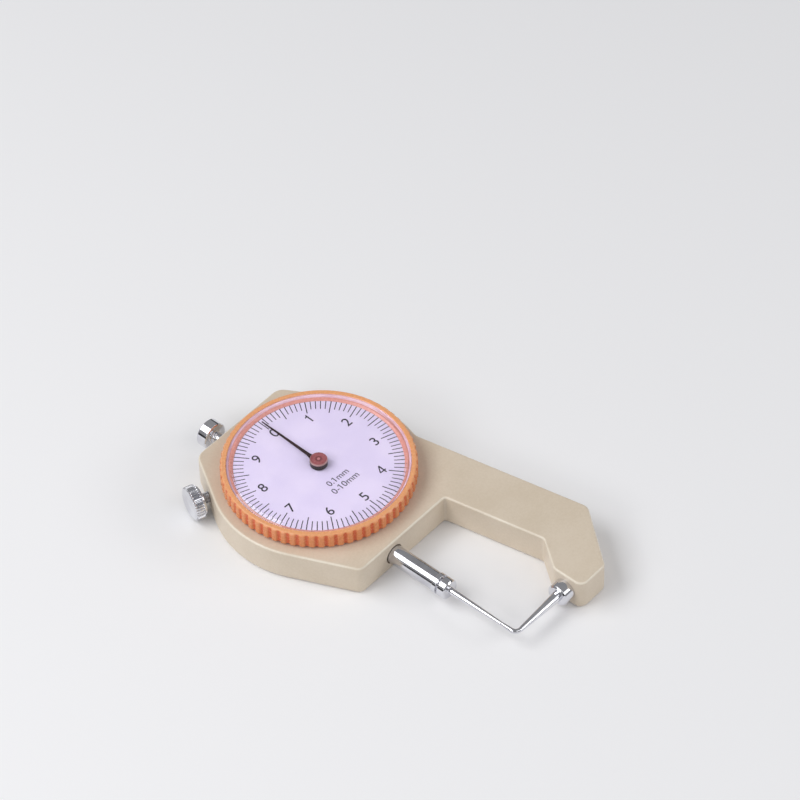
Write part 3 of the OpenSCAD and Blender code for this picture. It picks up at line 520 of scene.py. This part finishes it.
def castingOutline():
    # Corners of the casting, counter-clockwise, each with its radius. The housing is a circle with tangents
    # to the head and the foot; the arm's back line, splayed by a few degrees, runs from it to the heel.
    c = casting
    r, lean, arm = c["housing"], math.radians(c["splay"]), c["armWidth"]
    headX, headY = c["head"]
    footX, footY = c["foot"]
    upper, lower = tangentAngle(headX, headY, r), tangentAngle(footX, -footY, r)
    reach = c["throat"] * math.cos(lean) + footY * math.sin(lean) + arm
    root = lean - math.acos(reach / r) + math.radians(c["rootSwing"])
    left = apex(math.pi - upper, math.pi + lower, r)
    right = apex(root, upper, r)
    armBack = (c["throat"] + arm * math.cos(lean), footY + arm * math.sin(lean))
    backLine = math.pi / 2 + lean
    heel = meet(armBack, backLine, c["toe"], math.radians(c["heelLean"]))
    armRoot = meet(armBack, backLine, (r * math.cos(root), r * math.sin(root)), root + math.pi / 2)
    armInner = c["throat"] + (footY - c["throatEnd"]) * math.tan(lean)
    return [
        (headX, headY, c["headRound"]), (-headX, headY, c["headRound"]), (*left, r),
        (-footX, footY, c["footRound"]), (c["throat"], footY, c["throatRound"]),
        (armInner, c["throatEnd"], c["armRound"]), (*c["jaw"], c["jawRound"]),
        (c["jaw"][0], c["toe"][1], c["toeRound"]), (*c["toe"], c["toeRound"]),
        (*heel, c["heelRound"]), (*armRoot, c["rootRound"]), (*right, r),
    ]


def castingSkin():
    # The outline is carried up the edge profile: rounded back edge, upright side, rounded front edge.
    # Each profile point moves the outline inwards along its normals by the point's inset.
    ease = casting["ease"]
    outline, normal = roundCorners(castingOutline(), casting["arcSteps"], ease, closed=True)
    a = np.linspace(0, np.pi / 2, casting["edgeSteps"])
    back, front, top = casting["backEdge"], casting["frontEdge"], casting["thick"]
    inset = np.concatenate([[back + 4 * ease], back * (1 - np.sin(a)), [0, 0], front * (1 - np.cos(a)),
                            [front + 4 * ease]])
    height = np.concatenate([[0], back * (1 - np.cos(a)), [back + ease, top - front - ease],
                             top - front + front * np.sin(a), [top]])
    flat = outline[None] - normal[None] * inset[:, None, None]
    grid = np.concatenate([flat, np.broadcast_to(height[:, None, None], (*flat.shape[:2], 1))], -1)
    return gridPiece("castFrame", grid, "frame", "frame_paint", ["frame"], caps=True)


axisHeight = 4.5            # the spindle, the anvil and the lock screw lie in one plane
spindleX = -4.5
anvilY = -66.2
lockFoot = (-19.792, 18.523)
lockLean = math.radians(20)
spindlePlace = axisFrame((spindleX, 0, axisHeight), (0, 1, 0))
anvilPlace = axisFrame((0, anvilY, axisHeight), (1, 0, 0))
lockPlace = axisFrame((*lockFoot, axisHeight), (math.cos(lockLean), -math.sin(lockLean), 0))
dialPlace = axisFrame((0, 0, 0), (0, 0, 1), (0, 1, 0))

# place, start, end, radius and segments of each bore
bores = [
    (dialPlace, -1.0, 1.0, 22.45, 160),        # seat of the back cover
    (dialPlace, 0.5, 7.6, 19.0, 96),           # room of the movement
    (spindlePlace, -30.0, -15.0, 2.66, 96),    # spindle hole in the throat
    (spindlePlace, 11.0, 29.0, 2.3, 96),       # bush under the lift knob
    (lockPlace, -4.0, 9.0, 1.46, 96),          # thread of the lock screw
]
castFrame = castingSkin()
for bore in bores:
    carve(castFrame, *rodShape(*bore))
print("casting:", len(castFrame.data.polygons), "faces")


# bezel and window

# width is half of a flute's width, as a share of the pitch
bezel = {"radius": 24.0, "low": 9.15, "top": 13.7, "bore": 20.34, "dialFloor": 11.7, "ledge": 21.95,
         "wallFoot": 22.49, "wallTop": 22.51, "bevelShort": 0.5, "bevelLong": 0.55, "flutes": 64,
         "depth": 0.42, "width": 0.27, "turn": -1.25, "fluteTop": 13.1, "arch": 0.4, "inset": 1.2,
         "fade": 0.6, "fullness": 0.75, "perFlute": 14, "wallRows": 16, "wallMargin": 0.75}
window = {"radius": 22.44, "bevel": 1.24, "top": 16.0, "rise": 1.8, "thick": 0.9, "foot": 13.05,
          "footIn": 22.0, "lipIn": 0.75, "crownIn": 0.06, "shoulder": 13.56, "seat": 12.2, "rimIn": 21.64,
          "rimOut": 22.46, "rimLow": 12.72, "rimHigh": 13.12, "overRows": 26, "underRows": 24,
          "segments": 288, "rimSegments": 160}
lip = {"inner": 20.78, "outer": 21.62, "crest": 21.3, "low": 12.19, "innerTop": 12.36, "top": 12.72,
       "segments": 160}


def fluted(angle, radius, height):
    # A flute is a hollow whose depth falls with the square of the distance from its middle line, and past
    # its upper end with the square of the distance from that end too, so it closes in an arch. A power
    # below one then fills the hollow out.
    pitch = 2 * np.pi / bezel["flutes"]
    across = ((angle - math.radians(bezel["turn"])) / pitch + 0.5) % 1.0 - 0.5
    past = np.clip(height - bezel["fluteTop"], 0, None) / bezel["arch"]
    hollow = np.clip(1 - (across / bezel["width"]) ** 2 - past ** 2, 0, 1) ** bezel["fullness"]
    outer = smooth((radius - (bezel["radius"] - bezel["inset"])) / bezel["fade"])
    return radius - bezel["depth"] * hollow * outer


def bezelRing():
    # The ring's section, with its seat for dial and window, is carried round. Extra rows on the outer wall
    # give the flutes their arched ends.
    b = bezel
    r, low, top, seat = b["radius"], b["low"], b["top"], window["seat"]
    corners = [(b["bore"], low, 0), (r - b["bevelLong"], low, 0.15), (r, low + b["bevelShort"], 0.35),
               (r, top - b["bevelLong"], 0.3), (r - b["bevelShort"], top, 0.4), (b["wallTop"], top, 0.1),
               (b["wallFoot"], seat, 0.05), (b["ledge"], seat, 0.05), (b["ledge"], b["dialFloor"], 0.05),
               (b["bore"], b["dialFloor"], 0.05), (b["bore"], low, 0)]
    profile, _ = roundCorners(corners, 6, 0.02)
    rise = np.linspace(low + b["wallMargin"], top - b["wallMargin"], b["wallRows"])
    wall = np.stack([np.full(b["wallRows"], r), rise], 1)
    spot = int(np.argmax(profile[:, 1] > low + b["wallMargin"] - 0.05))
    profile = np.concatenate([profile[:spot], wall, profile[spot:]])[:-1]
    grid = revolve(profile, dialPlace, b["flutes"] * b["perFlute"], fluted)
    gridPiece("flutedBezel", grid, "bezel", "bezel_orange", ["bezel"], closeRows=True, sharp=50)


def windowDome():
    # a ball cap over the bevel, with an inner cap one thickness below it and a flat foot
    w = window
    r, edge, crown = w["radius"], w["radius"] - w["bevel"], w["radius"] - w["bevel"] - w["crownIn"]
    ball = (edge ** 2 + w["rise"] ** 2) / (2 * w["rise"])
    inner = edge - w["lipIn"]
    out = np.linspace(crown, 0, w["overRows"])
    back = np.linspace(0, inner, w["underRows"])
    over = np.stack([out, w["top"] - ball + np.sqrt(ball ** 2 - out ** 2)], 1)
    under = np.stack([back, w["top"] - w["thick"] - ball + np.sqrt(ball ** 2 - back ** 2)], 1)
    corners = [(inner, under[-1, 1], 0), (w["footIn"], w["foot"], 0.03), (r, w["foot"], 0.05),
               (r, w["shoulder"], 0.04), (edge, w["top"] - w["rise"], 0.08), (crown, over[0, 1], 0)]
    side, _ = roundCorners(corners, 6, 0.015)
    grid = revolve(np.concatenate([side, over[1:], under[:-1]]), dialPlace, w["segments"])
    gridPiece("domedWindow", grid, "bezel", "clear_crystal", ["crystal"], closeRows=True, sharp=30)


def windowRim():
    # ring under the window's foot, its top sloped down towards the dial
    w = window
    corners = [(w["rimIn"], w["seat"], 0), (w["rimOut"], w["seat"], 0.04), (w["rimOut"], w["rimHigh"], 0.06),
               (w["rimIn"], w["rimLow"], 0.14), (w["rimIn"], w["seat"], 0)]
    profile, _ = roundCorners(corners, 6, 0.015)
    grid = revolve(profile[:-1], dialPlace, w["rimSegments"])
    piece = gridPiece("windowRim", grid, "bezel", "windowRim", closeRows=True)


def dialLip():
    # lip round the dial, inside the window's rim, its top sloped down towards the dial
    corners = [(lip["inner"], lip["low"], 0), (lip["outer"], lip["low"], 0.03),
               (lip["outer"], lip["top"], 0.05), (lip["crest"], lip["top"], 0.12),
               (lip["inner"], lip["innerTop"], 0.08), (lip["inner"], lip["low"], 0)]
    profile, _ = roundCorners(corners, 5, 0.01)
    grid = revolve(profile[:-1], dialPlace, lip["segments"])
    gridPiece("dialLip", grid, "bezel", "bezel_orange", closeRows=True)


bezelRing()
windowDome()
windowRim()
dialLip()
print("bezel and window made")


# dial print

scale = {"turn": -2.3, "face": 12.2, "ink": 0.02, "sink": 0.01, "outer": 20.77, "short": 18.2, "long": 17.0,
         "line": 0.23, "longLine": 0.25, "divisions": 100, "longEvery": 5, "numbers": 10,
         "numberRadius": 15.2, "numberHeight": 2.75, "bold": 0.004}
# two lines of type; "flag" is where the short stroke at the top of the line's figure 1 is added
words = [{"text": "0.1mm", "y": -6.2, "width": 6.6, "flag": (-1.29, -5.59)},
         {"text": "0-10mm", "y": -8.8, "width": 8.4, "flag": (-1.84, -8.16)}]
flagHeight = 0.46
# outlines drawn in units of their height; a second outline is a hole
drawn = {
    "flag": [[(0, 0), (0.86, 0.55), (0.86, 1), (0.7, 1), (0, 0.42)]],
    "1": [[(0.20, 0), (0.335, 0), (0.335, 1), (0.235, 1), (0.17, 0.86), (0, 0.795), (0, 0.685),
           (0.20, 0.735)]],
    "4": [[(0.42, 0), (0.55, 0), (0.55, 0.235), (0.69, 0.235), (0.69, 0.35), (0.55, 0.35), (0.55, 1),
           (0.43, 1), (0, 0.37), (0, 0.235), (0.42, 0.235)], [(0.12, 0.35), (0.42, 0.35), (0.42, 0.79)]]}


def scaleTicks():
    # each division is a thin flat bar from its inner radius to the outer one; every fifth is longer and
    # bolder
    k = np.arange(scale["divisions"])
    angle = np.radians(90 + scale["turn"]) - 2 * np.pi * k / scale["divisions"]
    long = k % scale["longEvery"] == 0
    inner = np.where(long, scale["long"], scale["short"])
    half = np.where(long, scale["longLine"], scale["line"]) / 2
    out = np.stack([np.cos(angle), np.sin(angle)], 1)
    across = np.stack([-out[:, 1], out[:, 0]], 1)
    reach = np.stack([inner, inner, 0 * inner + scale["outer"], 0 * inner + scale["outer"]], 1)
    side = np.stack([-half, half, half, -half], 1)
    flat = reach[..., None] * out[:, None] + side[..., None] * across[:, None]
    low = np.concatenate([flat, np.full((*flat.shape[:2], 1), scale["face"] - scale["sink"])], -1)
    high = np.concatenate([flat, np.full((*flat.shape[:2], 1), scale["face"] + scale["ink"])], -1)
    points = np.concatenate([low, high], 1).reshape(-1, 3)
    bar = np.array([[3, 2, 1, 0], [4, 5, 6, 7], [0, 1, 5, 4], [1, 2, 6, 5], [2, 3, 7, 6], [3, 0, 4, 7]])
    faces = (bar[None] + 8 * k[:, None, None]).reshape(-1, 4).tolist()
    piece = addPiece("scaleTicks", points, faces, "bezel", "printInk", sharp=20)


def letterCurve(name, text, bold):
    # a filled flat curve: the drawn outlines where there are some, the plain typeface otherwise
    if text in drawn:
        curve = bpy.data.curves.new(name, "CURVE")
        curve.dimensions = "2D"
        for outline in drawn[text]:
            spline = curve.splines.new("POLY")
            spline.points.add(len(outline) - 1)
            spline.points.foreach_set("co", [v for x, y in outline for v in (x, y, 0.0, 1.0)])
            spline.use_cyclic_u = True
    else:
        curve = bpy.data.curves.new(name, "FONT")
        curve.body = text
        curve.align_x = "CENTER"
        curve.offset = bold
    curve.fill_mode = "BOTH"
    curve.resolution_u = 6
    curve.extrude = 0.01        # only tells upper from lower points
    return curve


def printedText(name, text, centre, height=None, width=None, bold=0.0):
    # a line of type as a thin solid, set to the wanted height or width and centred on a point of the dial
    curve = letterCurve(name, text, bold)
    writer = bpy.data.objects.new(name, curve)
    bpy.context.scene.collection.objects.link(writer)
    bpy.context.view_layer.update()
    mesh = bpy.data.meshes.new_from_object(writer.evaluated_get(bpy.context.evaluated_depsgraph_get()))
    bpy.data.objects.remove(writer)
    mesh.name = name
    co = np.zeros(len(mesh.vertices) * 3, np.float32)
    mesh.vertices.foreach_get("co", co)
    co = co.reshape(-1, 3)
    low, high = co.min(0), co.max(0)
    size = height / (high[1] - low[1]) if height else width / (high[0] - low[0])
    flat = (co[:, :2] - (low[:2] + high[:2]) / 2) * size
    turn = math.radians(scale["turn"])
    spin = np.array([[math.cos(turn), -math.sin(turn)], [math.sin(turn), math.cos(turn)]])
    flat = (flat + np.array(centre)) @ spin.T
    up = np.where(co[:, 2] > 0, scale["face"] + scale["ink"], scale["face"] - scale["sink"])
    solid = np.concatenate([flat, up[:, None]], 1) * mm
    mesh.vertices.foreach_set("co", solid.astype(np.float32).ravel())
    mesh.update()
    cleanMesh(mesh)
    piece = bpy.data.objects.new(name, mesh)
    bpy.context.scene.collection.objects.link(piece)
    dress(piece, "printInk")
    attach(piece, "bezel")


scaleTicks()
for number in range(scale["numbers"]):
    spot = math.radians(90 - 360 / scale["numbers"] * number)
    middle = (scale["numberRadius"] * math.cos(spot), scale["numberRadius"] * math.sin(spot))
    printedText("number%d" % number, str(number), middle, height=scale["numberHeight"], bold=scale["bold"])
for row, line in enumerate(words):
    printedText("words%d" % row, line["text"], (0, line["y"]), width=line["width"])
    printedText("flag%d" % row, "flag", line["flag"], height=flagHeight)
print("dial printed")


# pointer

hand = {"start": 0.76, "hub": 2.2, "length": 19.4, "flare": 1.9, "flareReach": 1.6, "width": 1.12,
        "tip": 0.38, "tipLength": 0.2, "tipHalf": 0.05, "flat": 0.72, "middle": 13.2, "thick": 0.16}
hub = {"low": 12.45, "top": 14.3, "bevelIn": 0.16, "bevelDown": 0.24, "grooveOut": (1.22, 1.14),
       "grooveIn": (1.0, 0.92), "grooveDepth": 0.04, "dimple": (0.55, 0.4), "dimpleDepth": 0.03}


def handBlade():
    # The section, a flat bar with chamfered edges, is carried along the blade, which points at the scale's
    # zero. Its width falls in a straight line to the tip, and beside the hub it swells by a share that fades
    # with the square of the distance.
    root = np.linspace(hand["start"], hand["hub"] + hand["flareReach"], 14)
    along = np.concatenate([root, [hand["length"] - hand["tipLength"], hand["length"]]])
    taper = hand["width"] + (hand["tip"] - hand["width"]) * along / hand["length"]
    swell = np.clip(1 - (along - hand["hub"]) / hand["flareReach"], 0, 1) ** 2
    half = (taper + (hand["flare"] - hand["width"]) * swell) / 2
    half[-1] = hand["tipHalf"]
    x = np.array([-1, -hand["flat"], hand["flat"], 1, hand["flat"], -hand["flat"]])
    z = np.array([0, 1, 1, 0, -1, -1]) * hand["thick"] / 2
    turn = math.radians(scale["turn"])
    side = np.array([math.cos(turn), math.sin(turn), 0])
    ahead = np.array([-math.sin(turn), math.cos(turn), 0])
    grid = (along[:, None, None] * ahead + half[:, None, None] * x[None, :, None] * side
            + (z + hand["middle"])[None, :, None] * np.array([0, 0, 1]))
    gridPiece("pointerBlade", grid, "pointer", "pointer_black", ["pointer"], caps=True, sharp=20)


def handHub():
    # turned hub: bevelled edge, a ring groove in the top and a dimple over the arbor
    r, low, top = hand["hub"], hub["low"], hub["top"]
    groove, dimple = top - hub["grooveDepth"], top - hub["dimpleDepth"]
    corners = [(hand["start"], low, 0), (r, low, 0.08), (r, top - hub["bevelDown"], 0.05),
               (r - hub["bevelIn"], top, 0.06), (hub["grooveOut"][0], top, 0.03),
               (hub["grooveOut"][1], groove, 0.02), (hub["grooveIn"][0], groove, 0.02),
               (hub["grooveIn"][1], top, 0.03), (hub["dimple"][0], top, 0.05),
               (hub["dimple"][1], dimple, 0.05), (0, dimple, 0)]
    profile, _ = roundCorners(corners, 6, 0.01)
    grid = revolve(profile, dialPlace, 64)
    gridPiece("pointerHub", grid, "pointer", "hub_brown", ["pointer_hub"], caps=True)


handBlade()
handHub()
print("pointer made")


# spindle, needle and lift knob, all turned on the spindle's axis; heights run along Y

stem = {"radius": 2.4, "tail": 1.4, "end": -41.7, "shoulder": 1.0, "top": 29.8}
rackFlat = {"low": (-2.58, -13.96, -1.0), "high": (1.0, 1.05, 10.0)}     # block cut away beside the rack
collar = {"radius": 2.65, "groove": 1.8, "ring": -42.95, "grooveEnd": -43.5, "end": -45.65, "rim": 0.28}
needle = {"root": 0.88, "tip": 0.475, "contact": -61.7}
knob = {"neck": 1.6, "neckEnd": 30.2, "waist": 1.35, "waistStart": 30.3, "waistEnd": 30.5, "collar": 2.1,
        "radius": 3.65, "inner": 30.7, "outer": 33.8, "innerBevel": 0.25, "outerBevel": 0.3, "crown": 0.1,
        "crownRadius": 1.6}


def turnedPiece(name, corners, place, body, finish, nodes, segments=96):
    # a profile with rounded corners carried round an axis
    profile, _ = roundCorners(corners, 6, 0.02)
    return gridPiece(name, revolve(profile, place, segments), body, finish, nodes)


def measuringSpindle():
    # round bar with a thinner tail and a flat for the rack
    s = stem
    piece = turnedPiece("measuringSpindle", [
        (0, s["end"], 0), (s["radius"], s["end"], 0.05), (s["radius"], s["shoulder"], 0.1),
        (s["tail"], s["shoulder"], 0.05), (s["tail"], s["top"], 0.05), (0, s["top"], 0)],
        spindlePlace, "spindle", "ground_steel", ["spindle"], 128)
    carve(piece, *boxShape(rackFlat["low"], rackFlat["high"]))


def needlePoint():
    # grooved collar, then a straight taper down to the contact
    c, n = collar, needle
    turnedPiece("needlePoint", [
        (0, stem["end"], 0), (c["radius"], stem["end"], 0.12), (c["radius"], c["ring"], 0.12),
        (c["groove"], c["ring"], 0.05), (c["groove"], c["grooveEnd"], 0.05),
        (c["radius"], c["grooveEnd"], 0.12), (c["radius"], c["end"] + c["rim"], 0.08),
        (c["radius"] - c["rim"], c["end"], 0.08), (n["root"], c["end"], 0.1), (n["tip"], n["contact"], 0.2),
        (0, n["contact"], 0)],
        spindlePlace, "spindle", "bright_chrome", ["needle_point"])


def liftKnob():
    # waisted neck and a wide head with bevelled edges and a crowned end
    k = knob
    crown = k["outer"] + k["crown"]
    turnedPiece("liftKnob", [
        (0, stem["top"], 0), (k["neck"], stem["top"], 0.1), (k["neck"], k["neckEnd"], 0.08),
        (k["waist"], k["waistStart"], 0.05), (k["waist"], k["waistEnd"], 0.05),
        (k["collar"], k["inner"], 0.05), (k["radius"] - k["innerBevel"], k["inner"], 0.1),
        (k["radius"], k["inner"] + k["innerBevel"], 0.12), (k["radius"], k["outer"] - k["outerBevel"], 0.2),
        (k["radius"] - k["outerBevel"], k["outer"], 0.25), (k["crownRadius"], crown, 0.8), (0, crown, 0)],
        spindlePlace, "spindle", "bright_chrome", ["lift_knob"], 128)


measuringSpindle()
needlePoint()
liftKnob()
print("spindle made")


# anvil

post = {"radius": 2.9, "bevel": 0.4, "jaw": 13.6, "face": 10.3, "shank": 20.0, "shankRadius": 1.93}
point = {"root": 1.35, "bend": 0.6, "tip": 0.475, "bendRadius": 1.5, "sunk": 0.3, "contactGap": 0.06,
         "ease": 0.02, "armSteps": 40, "bendSteps": 22, "riseSteps": 14, "segments": 48}


def anvilPost():
    # bevelled collar on a plain shank
    p = post
    turnedPiece("anvilPost", [
        (0, p["face"], 0), (p["radius"] - p["bevel"], p["face"], 0.1),
        (p["radius"], p["face"] + p["bevel"], 0.15), (p["radius"], p["jaw"], 0.03),
        (p["shankRadius"], p["jaw"], 0.03), (p["shankRadius"], p["shank"], 0.05), (0, p["shank"], 0)],
        anvilPlace, "frame", "bright_chrome", ["anvil_post"])


def anvilPoint():
    # A round wire carried along its axis: straight from the collar, a quarter bend, straight up to the tip.
    # Its radius falls in a straight line over the first part and again over the last, and the tip is closed
    # by a small chamfer.
    p = point
    r, x, y, gap = p["bendRadius"], spindleX, anvilY, p["contactGap"]
    a = np.linspace(0, np.pi / 2, p["bendSteps"])
    arm = np.linspace(post["face"] + p["sunk"], x + r + p["ease"], p["armSteps"])
    rise = np.linspace(y + r + p["ease"], needle["contact"] - gap, p["riseSteps"])
    path = np.concatenate([np.stack([arm, 0 * arm + y], 1),
                           np.stack([x + r - r * np.sin(a), y + r - r * np.cos(a)], 1),
                           np.stack([0 * rise + x, rise], 1)])
    ahead = np.concatenate([np.tile([[-1.0, 0.0]], (p["armSteps"], 1)), np.stack([-np.cos(a), np.sin(a)], 1),
                            np.tile([[0.0, 1.0]], (p["riseSteps"], 1))])
    radius = np.concatenate([np.linspace(p["root"], p["bend"], p["armSteps"]), 0 * a + p["bend"],
                             np.linspace(p["bend"], p["tip"], p["riseSteps"])])
    path = np.concatenate([path, path[-1:] + [[0, gap - 0.01]], path[-1:] + [[0, gap]]])
    ahead = np.concatenate([ahead, ahead[-1:], ahead[-1:]])
    radius = np.concatenate([radius, [p["tip"] - gap, 0.0]])
    angle = np.linspace(0, 2 * np.pi, p["segments"], endpoint=False)[None, :, None]
    across = np.stack([-ahead[:, 1], ahead[:, 0], 0 * radius], 1)
    centre = np.concatenate([path, np.full((len(path), 1), axisHeight)], 1)
    ring = across[:, None] * np.cos(angle) + np.array([0, 0, 1.0]) * np.sin(angle)
    grid = centre[:, None] + radius[:, None, None] * ring
    gridPiece("anvilPoint", grid, "frame", "bright_chrome", ["anvil_point"], caps=True)


anvilPost()
anvilPoint()
print("anvil made")


# lock screw, heights run along its axis into the frame

lock = {"gap": 2.3, "headRadius": 4.4, "head": 3.0, "flange": 0.6, "flangeStep": 0.1, "step": 0.5,
        "crown": 0.25, "crownIn": 1.0, "bevelIn": 0.35, "bevelBack": 0.3, "ridges": 36, "perRidge": 12,
        "depth": 0.45, "bias": 0.75, "slope": 1.3, "fadeFace": 0.5, "fadeBack": 0.35, "inset": 0.6,
        "fade": 0.3, "wallStart": 0.5, "wallEnd": 0.4, "wallRows": 14, "thread": 1.4, "threadDepth": 0.22,
        "pitch": 0.5, "end": 8.0, "threadStart": 0.15, "runIn": 0.25, "runOut": 0.5, "threadRows": 230}


def knurled(angle, radius, height):
    # upright ridges with sloped flanks: a clipped cosine, fading out at the rounded ends of the head
    face = -lock["gap"] - lock["head"]
    flange = -lock["gap"] - lock["flange"]
    wave = np.clip(lock["bias"] - lock["slope"] * np.cos(lock["ridges"] * angle), 0, 1)
    fromFace = smooth((height - face + 0.05) / lock["fadeFace"])
    toFlange = smooth((flange + 0.02 - height) / lock["fadeBack"])
    outer = smooth((radius - (lock["headRadius"] - lock["inset"])) / lock["fade"])
    return radius - lock["depth"] * (1 - wave) * (fromFace * toFlange) * outer


def threaded(angle, radius, height):
    # a V thread: the radius rises and falls once for each pitch of height, shifted by the turn round the
    # axis, and the thread runs out at both ends
    phase = (height / lock["pitch"] - angle / (2 * np.pi)) % 1.0
    tooth = np.abs(2 * phase - 1)
    runIn = smooth((height + lock["gap"] - lock["threadStart"]) / lock["runIn"])
    runOut = smooth((lock["end"] - height) / lock["runOut"])
    return radius - lock["threadDepth"] * tooth * (runIn * runOut) * (radius > 0)


def lockScrew():
    # two turned pieces, so that each has its own finish: the knurled head and the threaded shank
    k = lock
    r, back = k["headRadius"], -k["gap"]
    face, flange = back - k["head"], back - k["flange"]
    crown = face - k["crown"]
    corners = [(0, crown, 0), (r - k["crownIn"], crown, 0.2), (r - k["bevelIn"], face, 0.2),
               (r, face + k["bevelBack"], 0.2), (r, flange, 0.12),
               (r - k["step"], flange + k["flangeStep"], 0.05), (r - k["step"], back, 0.15),
               (k["thread"], back, 0.05)]
    head, _ = roundCorners(corners, 6, 0.02)
    spot = int(np.argmax((head[:, 0] > r - 0.01) & (head[:, 1] > face + k["wallStart"] + 0.1)))
    wall = np.linspace(face + k["wallStart"], flange - k["wallEnd"], k["wallRows"])    # carries the ridges
    head = np.concatenate([head[:spot], np.stack([0 * wall + r, wall], 1), head[spot:]])
    grid = revolve(head, lockPlace, k["ridges"] * k["perRidge"], knurled)
    gridPiece("lockHead", grid, "lock_screw", "bright_chrome", caps=True, sharp=32)
    along = np.linspace(back, k["end"], k["threadRows"])
    shank = np.concatenate([[[0, back]], np.stack([0 * along + k["thread"], along], 1), [[0, k["end"]]]])
    grid = revolve(shank, lockPlace, 48, threaded)
    gridPiece("lockThread", grid, "lock_screw", "screw_steel", ["lock_screw"], sharp=75)


lockScrew()
print("lock screw made")


# floor, light and camera

# places and sizes of the floor, the lamps and the cards are in metres, and so are the camera's near and far
studio = {"floor": (247, 247, 249), "floorHalf": 4.0, "floorRoughness": 0.7, "world": 0.30,
          "sky": (0.98, 0.985, 1.0, 1.0), "aim": (0.0, -0.02, 0.0), "card": (0.02, 0.02, 0.02, 1.0),
          "cardRoughness": 0.5, "cardX": 0.5, "cardY": (-0.6, 0.5), "cardZ": (0.02, 0.15)}
lamps = {"key": {"place": (-0.42, 0.40, 0.74), "size": (0.75, 0.5), "power": 4.4},
         "edge": {"place": (0.46, -0.66, 0.40), "size": (0.5, 0.22), "power": 1.5},
         "left": {"place": (-0.72, 0.05, 0.46), "size": (0.5, 0.2), "power": 1.2},
         "over": {"place": (0.0, -0.66, 0.80), "size": (0.9, 0.4), "power": 1.4}}
camera = {"aim": (37.197, 6.916, 0.0), "azimuth": -47.356, "elevation": 47.119, "roll": -1.872,
          "distance": 998.16, "lens": 180.0, "sensor": 36.0, "near": 0.05, "far": 20.0}


def plainSheet(name, corners, colour, roughness):
    # one flat face with a plain material
    mesh = bpy.data.meshes.new(name)
    mesh.from_pydata(corners, [], [(0, 1, 2, 3)])
    sheet = bpy.data.objects.new(name, mesh)
    bpy.context.scene.collection.objects.link(sheet)
    material = bpy.data.materials.new(name)
    material.use_nodes = True
    shader = material.node_tree.nodes["Principled BSDF"]
    shader.inputs["Base Color"].default_value = colour
    shader.inputs["Roughness"].default_value = roughness
    mesh.materials.append(material)
    return sheet


def stageFloor():
    half = studio["floorHalf"]
    corners = [(-half, -half, 0), (half, -half, 0), (half, half, 0), (-half, half, 0)]
    floor = plainSheet("floor", corners, tone(*studio["floor"]), studio["floorRoughness"])


def softLamp(name, place, size, power):
    lamp = bpy.data.lights.new(name, "AREA")
    lamp.shape = "RECTANGLE"
    lamp.size, lamp.size_y = size
    lamp.energy = power
    holder = bpy.data.objects.new(name, lamp)
    bpy.context.scene.collection.objects.link(holder)
    holder.location = place
    holder.rotation_mode = "QUATERNION"
    holder.rotation_quaternion = (Vector(studio["aim"]) - Vector(place)).to_track_quat("-Z", "Y")
    holder.visible_camera = False


def darkCard(name, x):
    # seen only in reflections, where it draws the metal's edges
    (front, back), (low, high) = studio["cardY"], studio["cardZ"]
    corners = [(x, front, low), (x, back, low), (x, back, high), (x, front, high)]
    card = plainSheet(name, corners, studio["card"], studio["cardRoughness"])
    card.visible_camera = False
    card.visible_diffuse = False
    card.visible_shadow = False


def studioLight():
    world = bpy.data.worlds.new("studio")
    bpy.context.scene.world = world
    world.use_nodes = True
    shade = world.node_tree.nodes["Background"]
    shade.inputs["Color"].default_value = studio["sky"]
    shade.inputs["Strength"].default_value = studio["world"]
    for name, lamp in lamps.items():
        softLamp(name, lamp["place"], lamp["size"], lamp["power"])
    darkCard("cardLeft", -studio["cardX"])
    darkCard("cardRight", studio["cardX"])


def photoCamera():
    # looks at the aim from an azimuth and an elevation, then rolls about its line of sight
    a, e = math.radians(camera["azimuth"]), math.radians(camera["elevation"])
    back = Vector((math.sin(a) * math.cos(e), -math.cos(a) * math.cos(e), math.sin(e)))
    lens = bpy.data.cameras.new("camera")
    lens.sensor_width = camera["sensor"]
    lens.lens = camera["lens"]
    lens.clip_start = camera["near"]
    lens.clip_end = camera["far"]
    holder = bpy.data.objects.new("camera", lens)
    bpy.context.scene.collection.objects.link(holder)
    roll = Matrix.Rotation(math.radians(camera["roll"]), 4, "Z")
    turn = (-back).to_track_quat("-Z", "Y").to_matrix().to_4x4() @ roll
    place = Vector(camera["aim"]) * mm + back * camera["distance"] * mm
    holder.matrix_world = Matrix.Translation(place) @ turn
    bpy.context.scene.camera = holder


stageFloor()
studioLight()
photoCamera()
bpy.context.scene.view_settings.view_transform = "Standard"
print("stage ready")
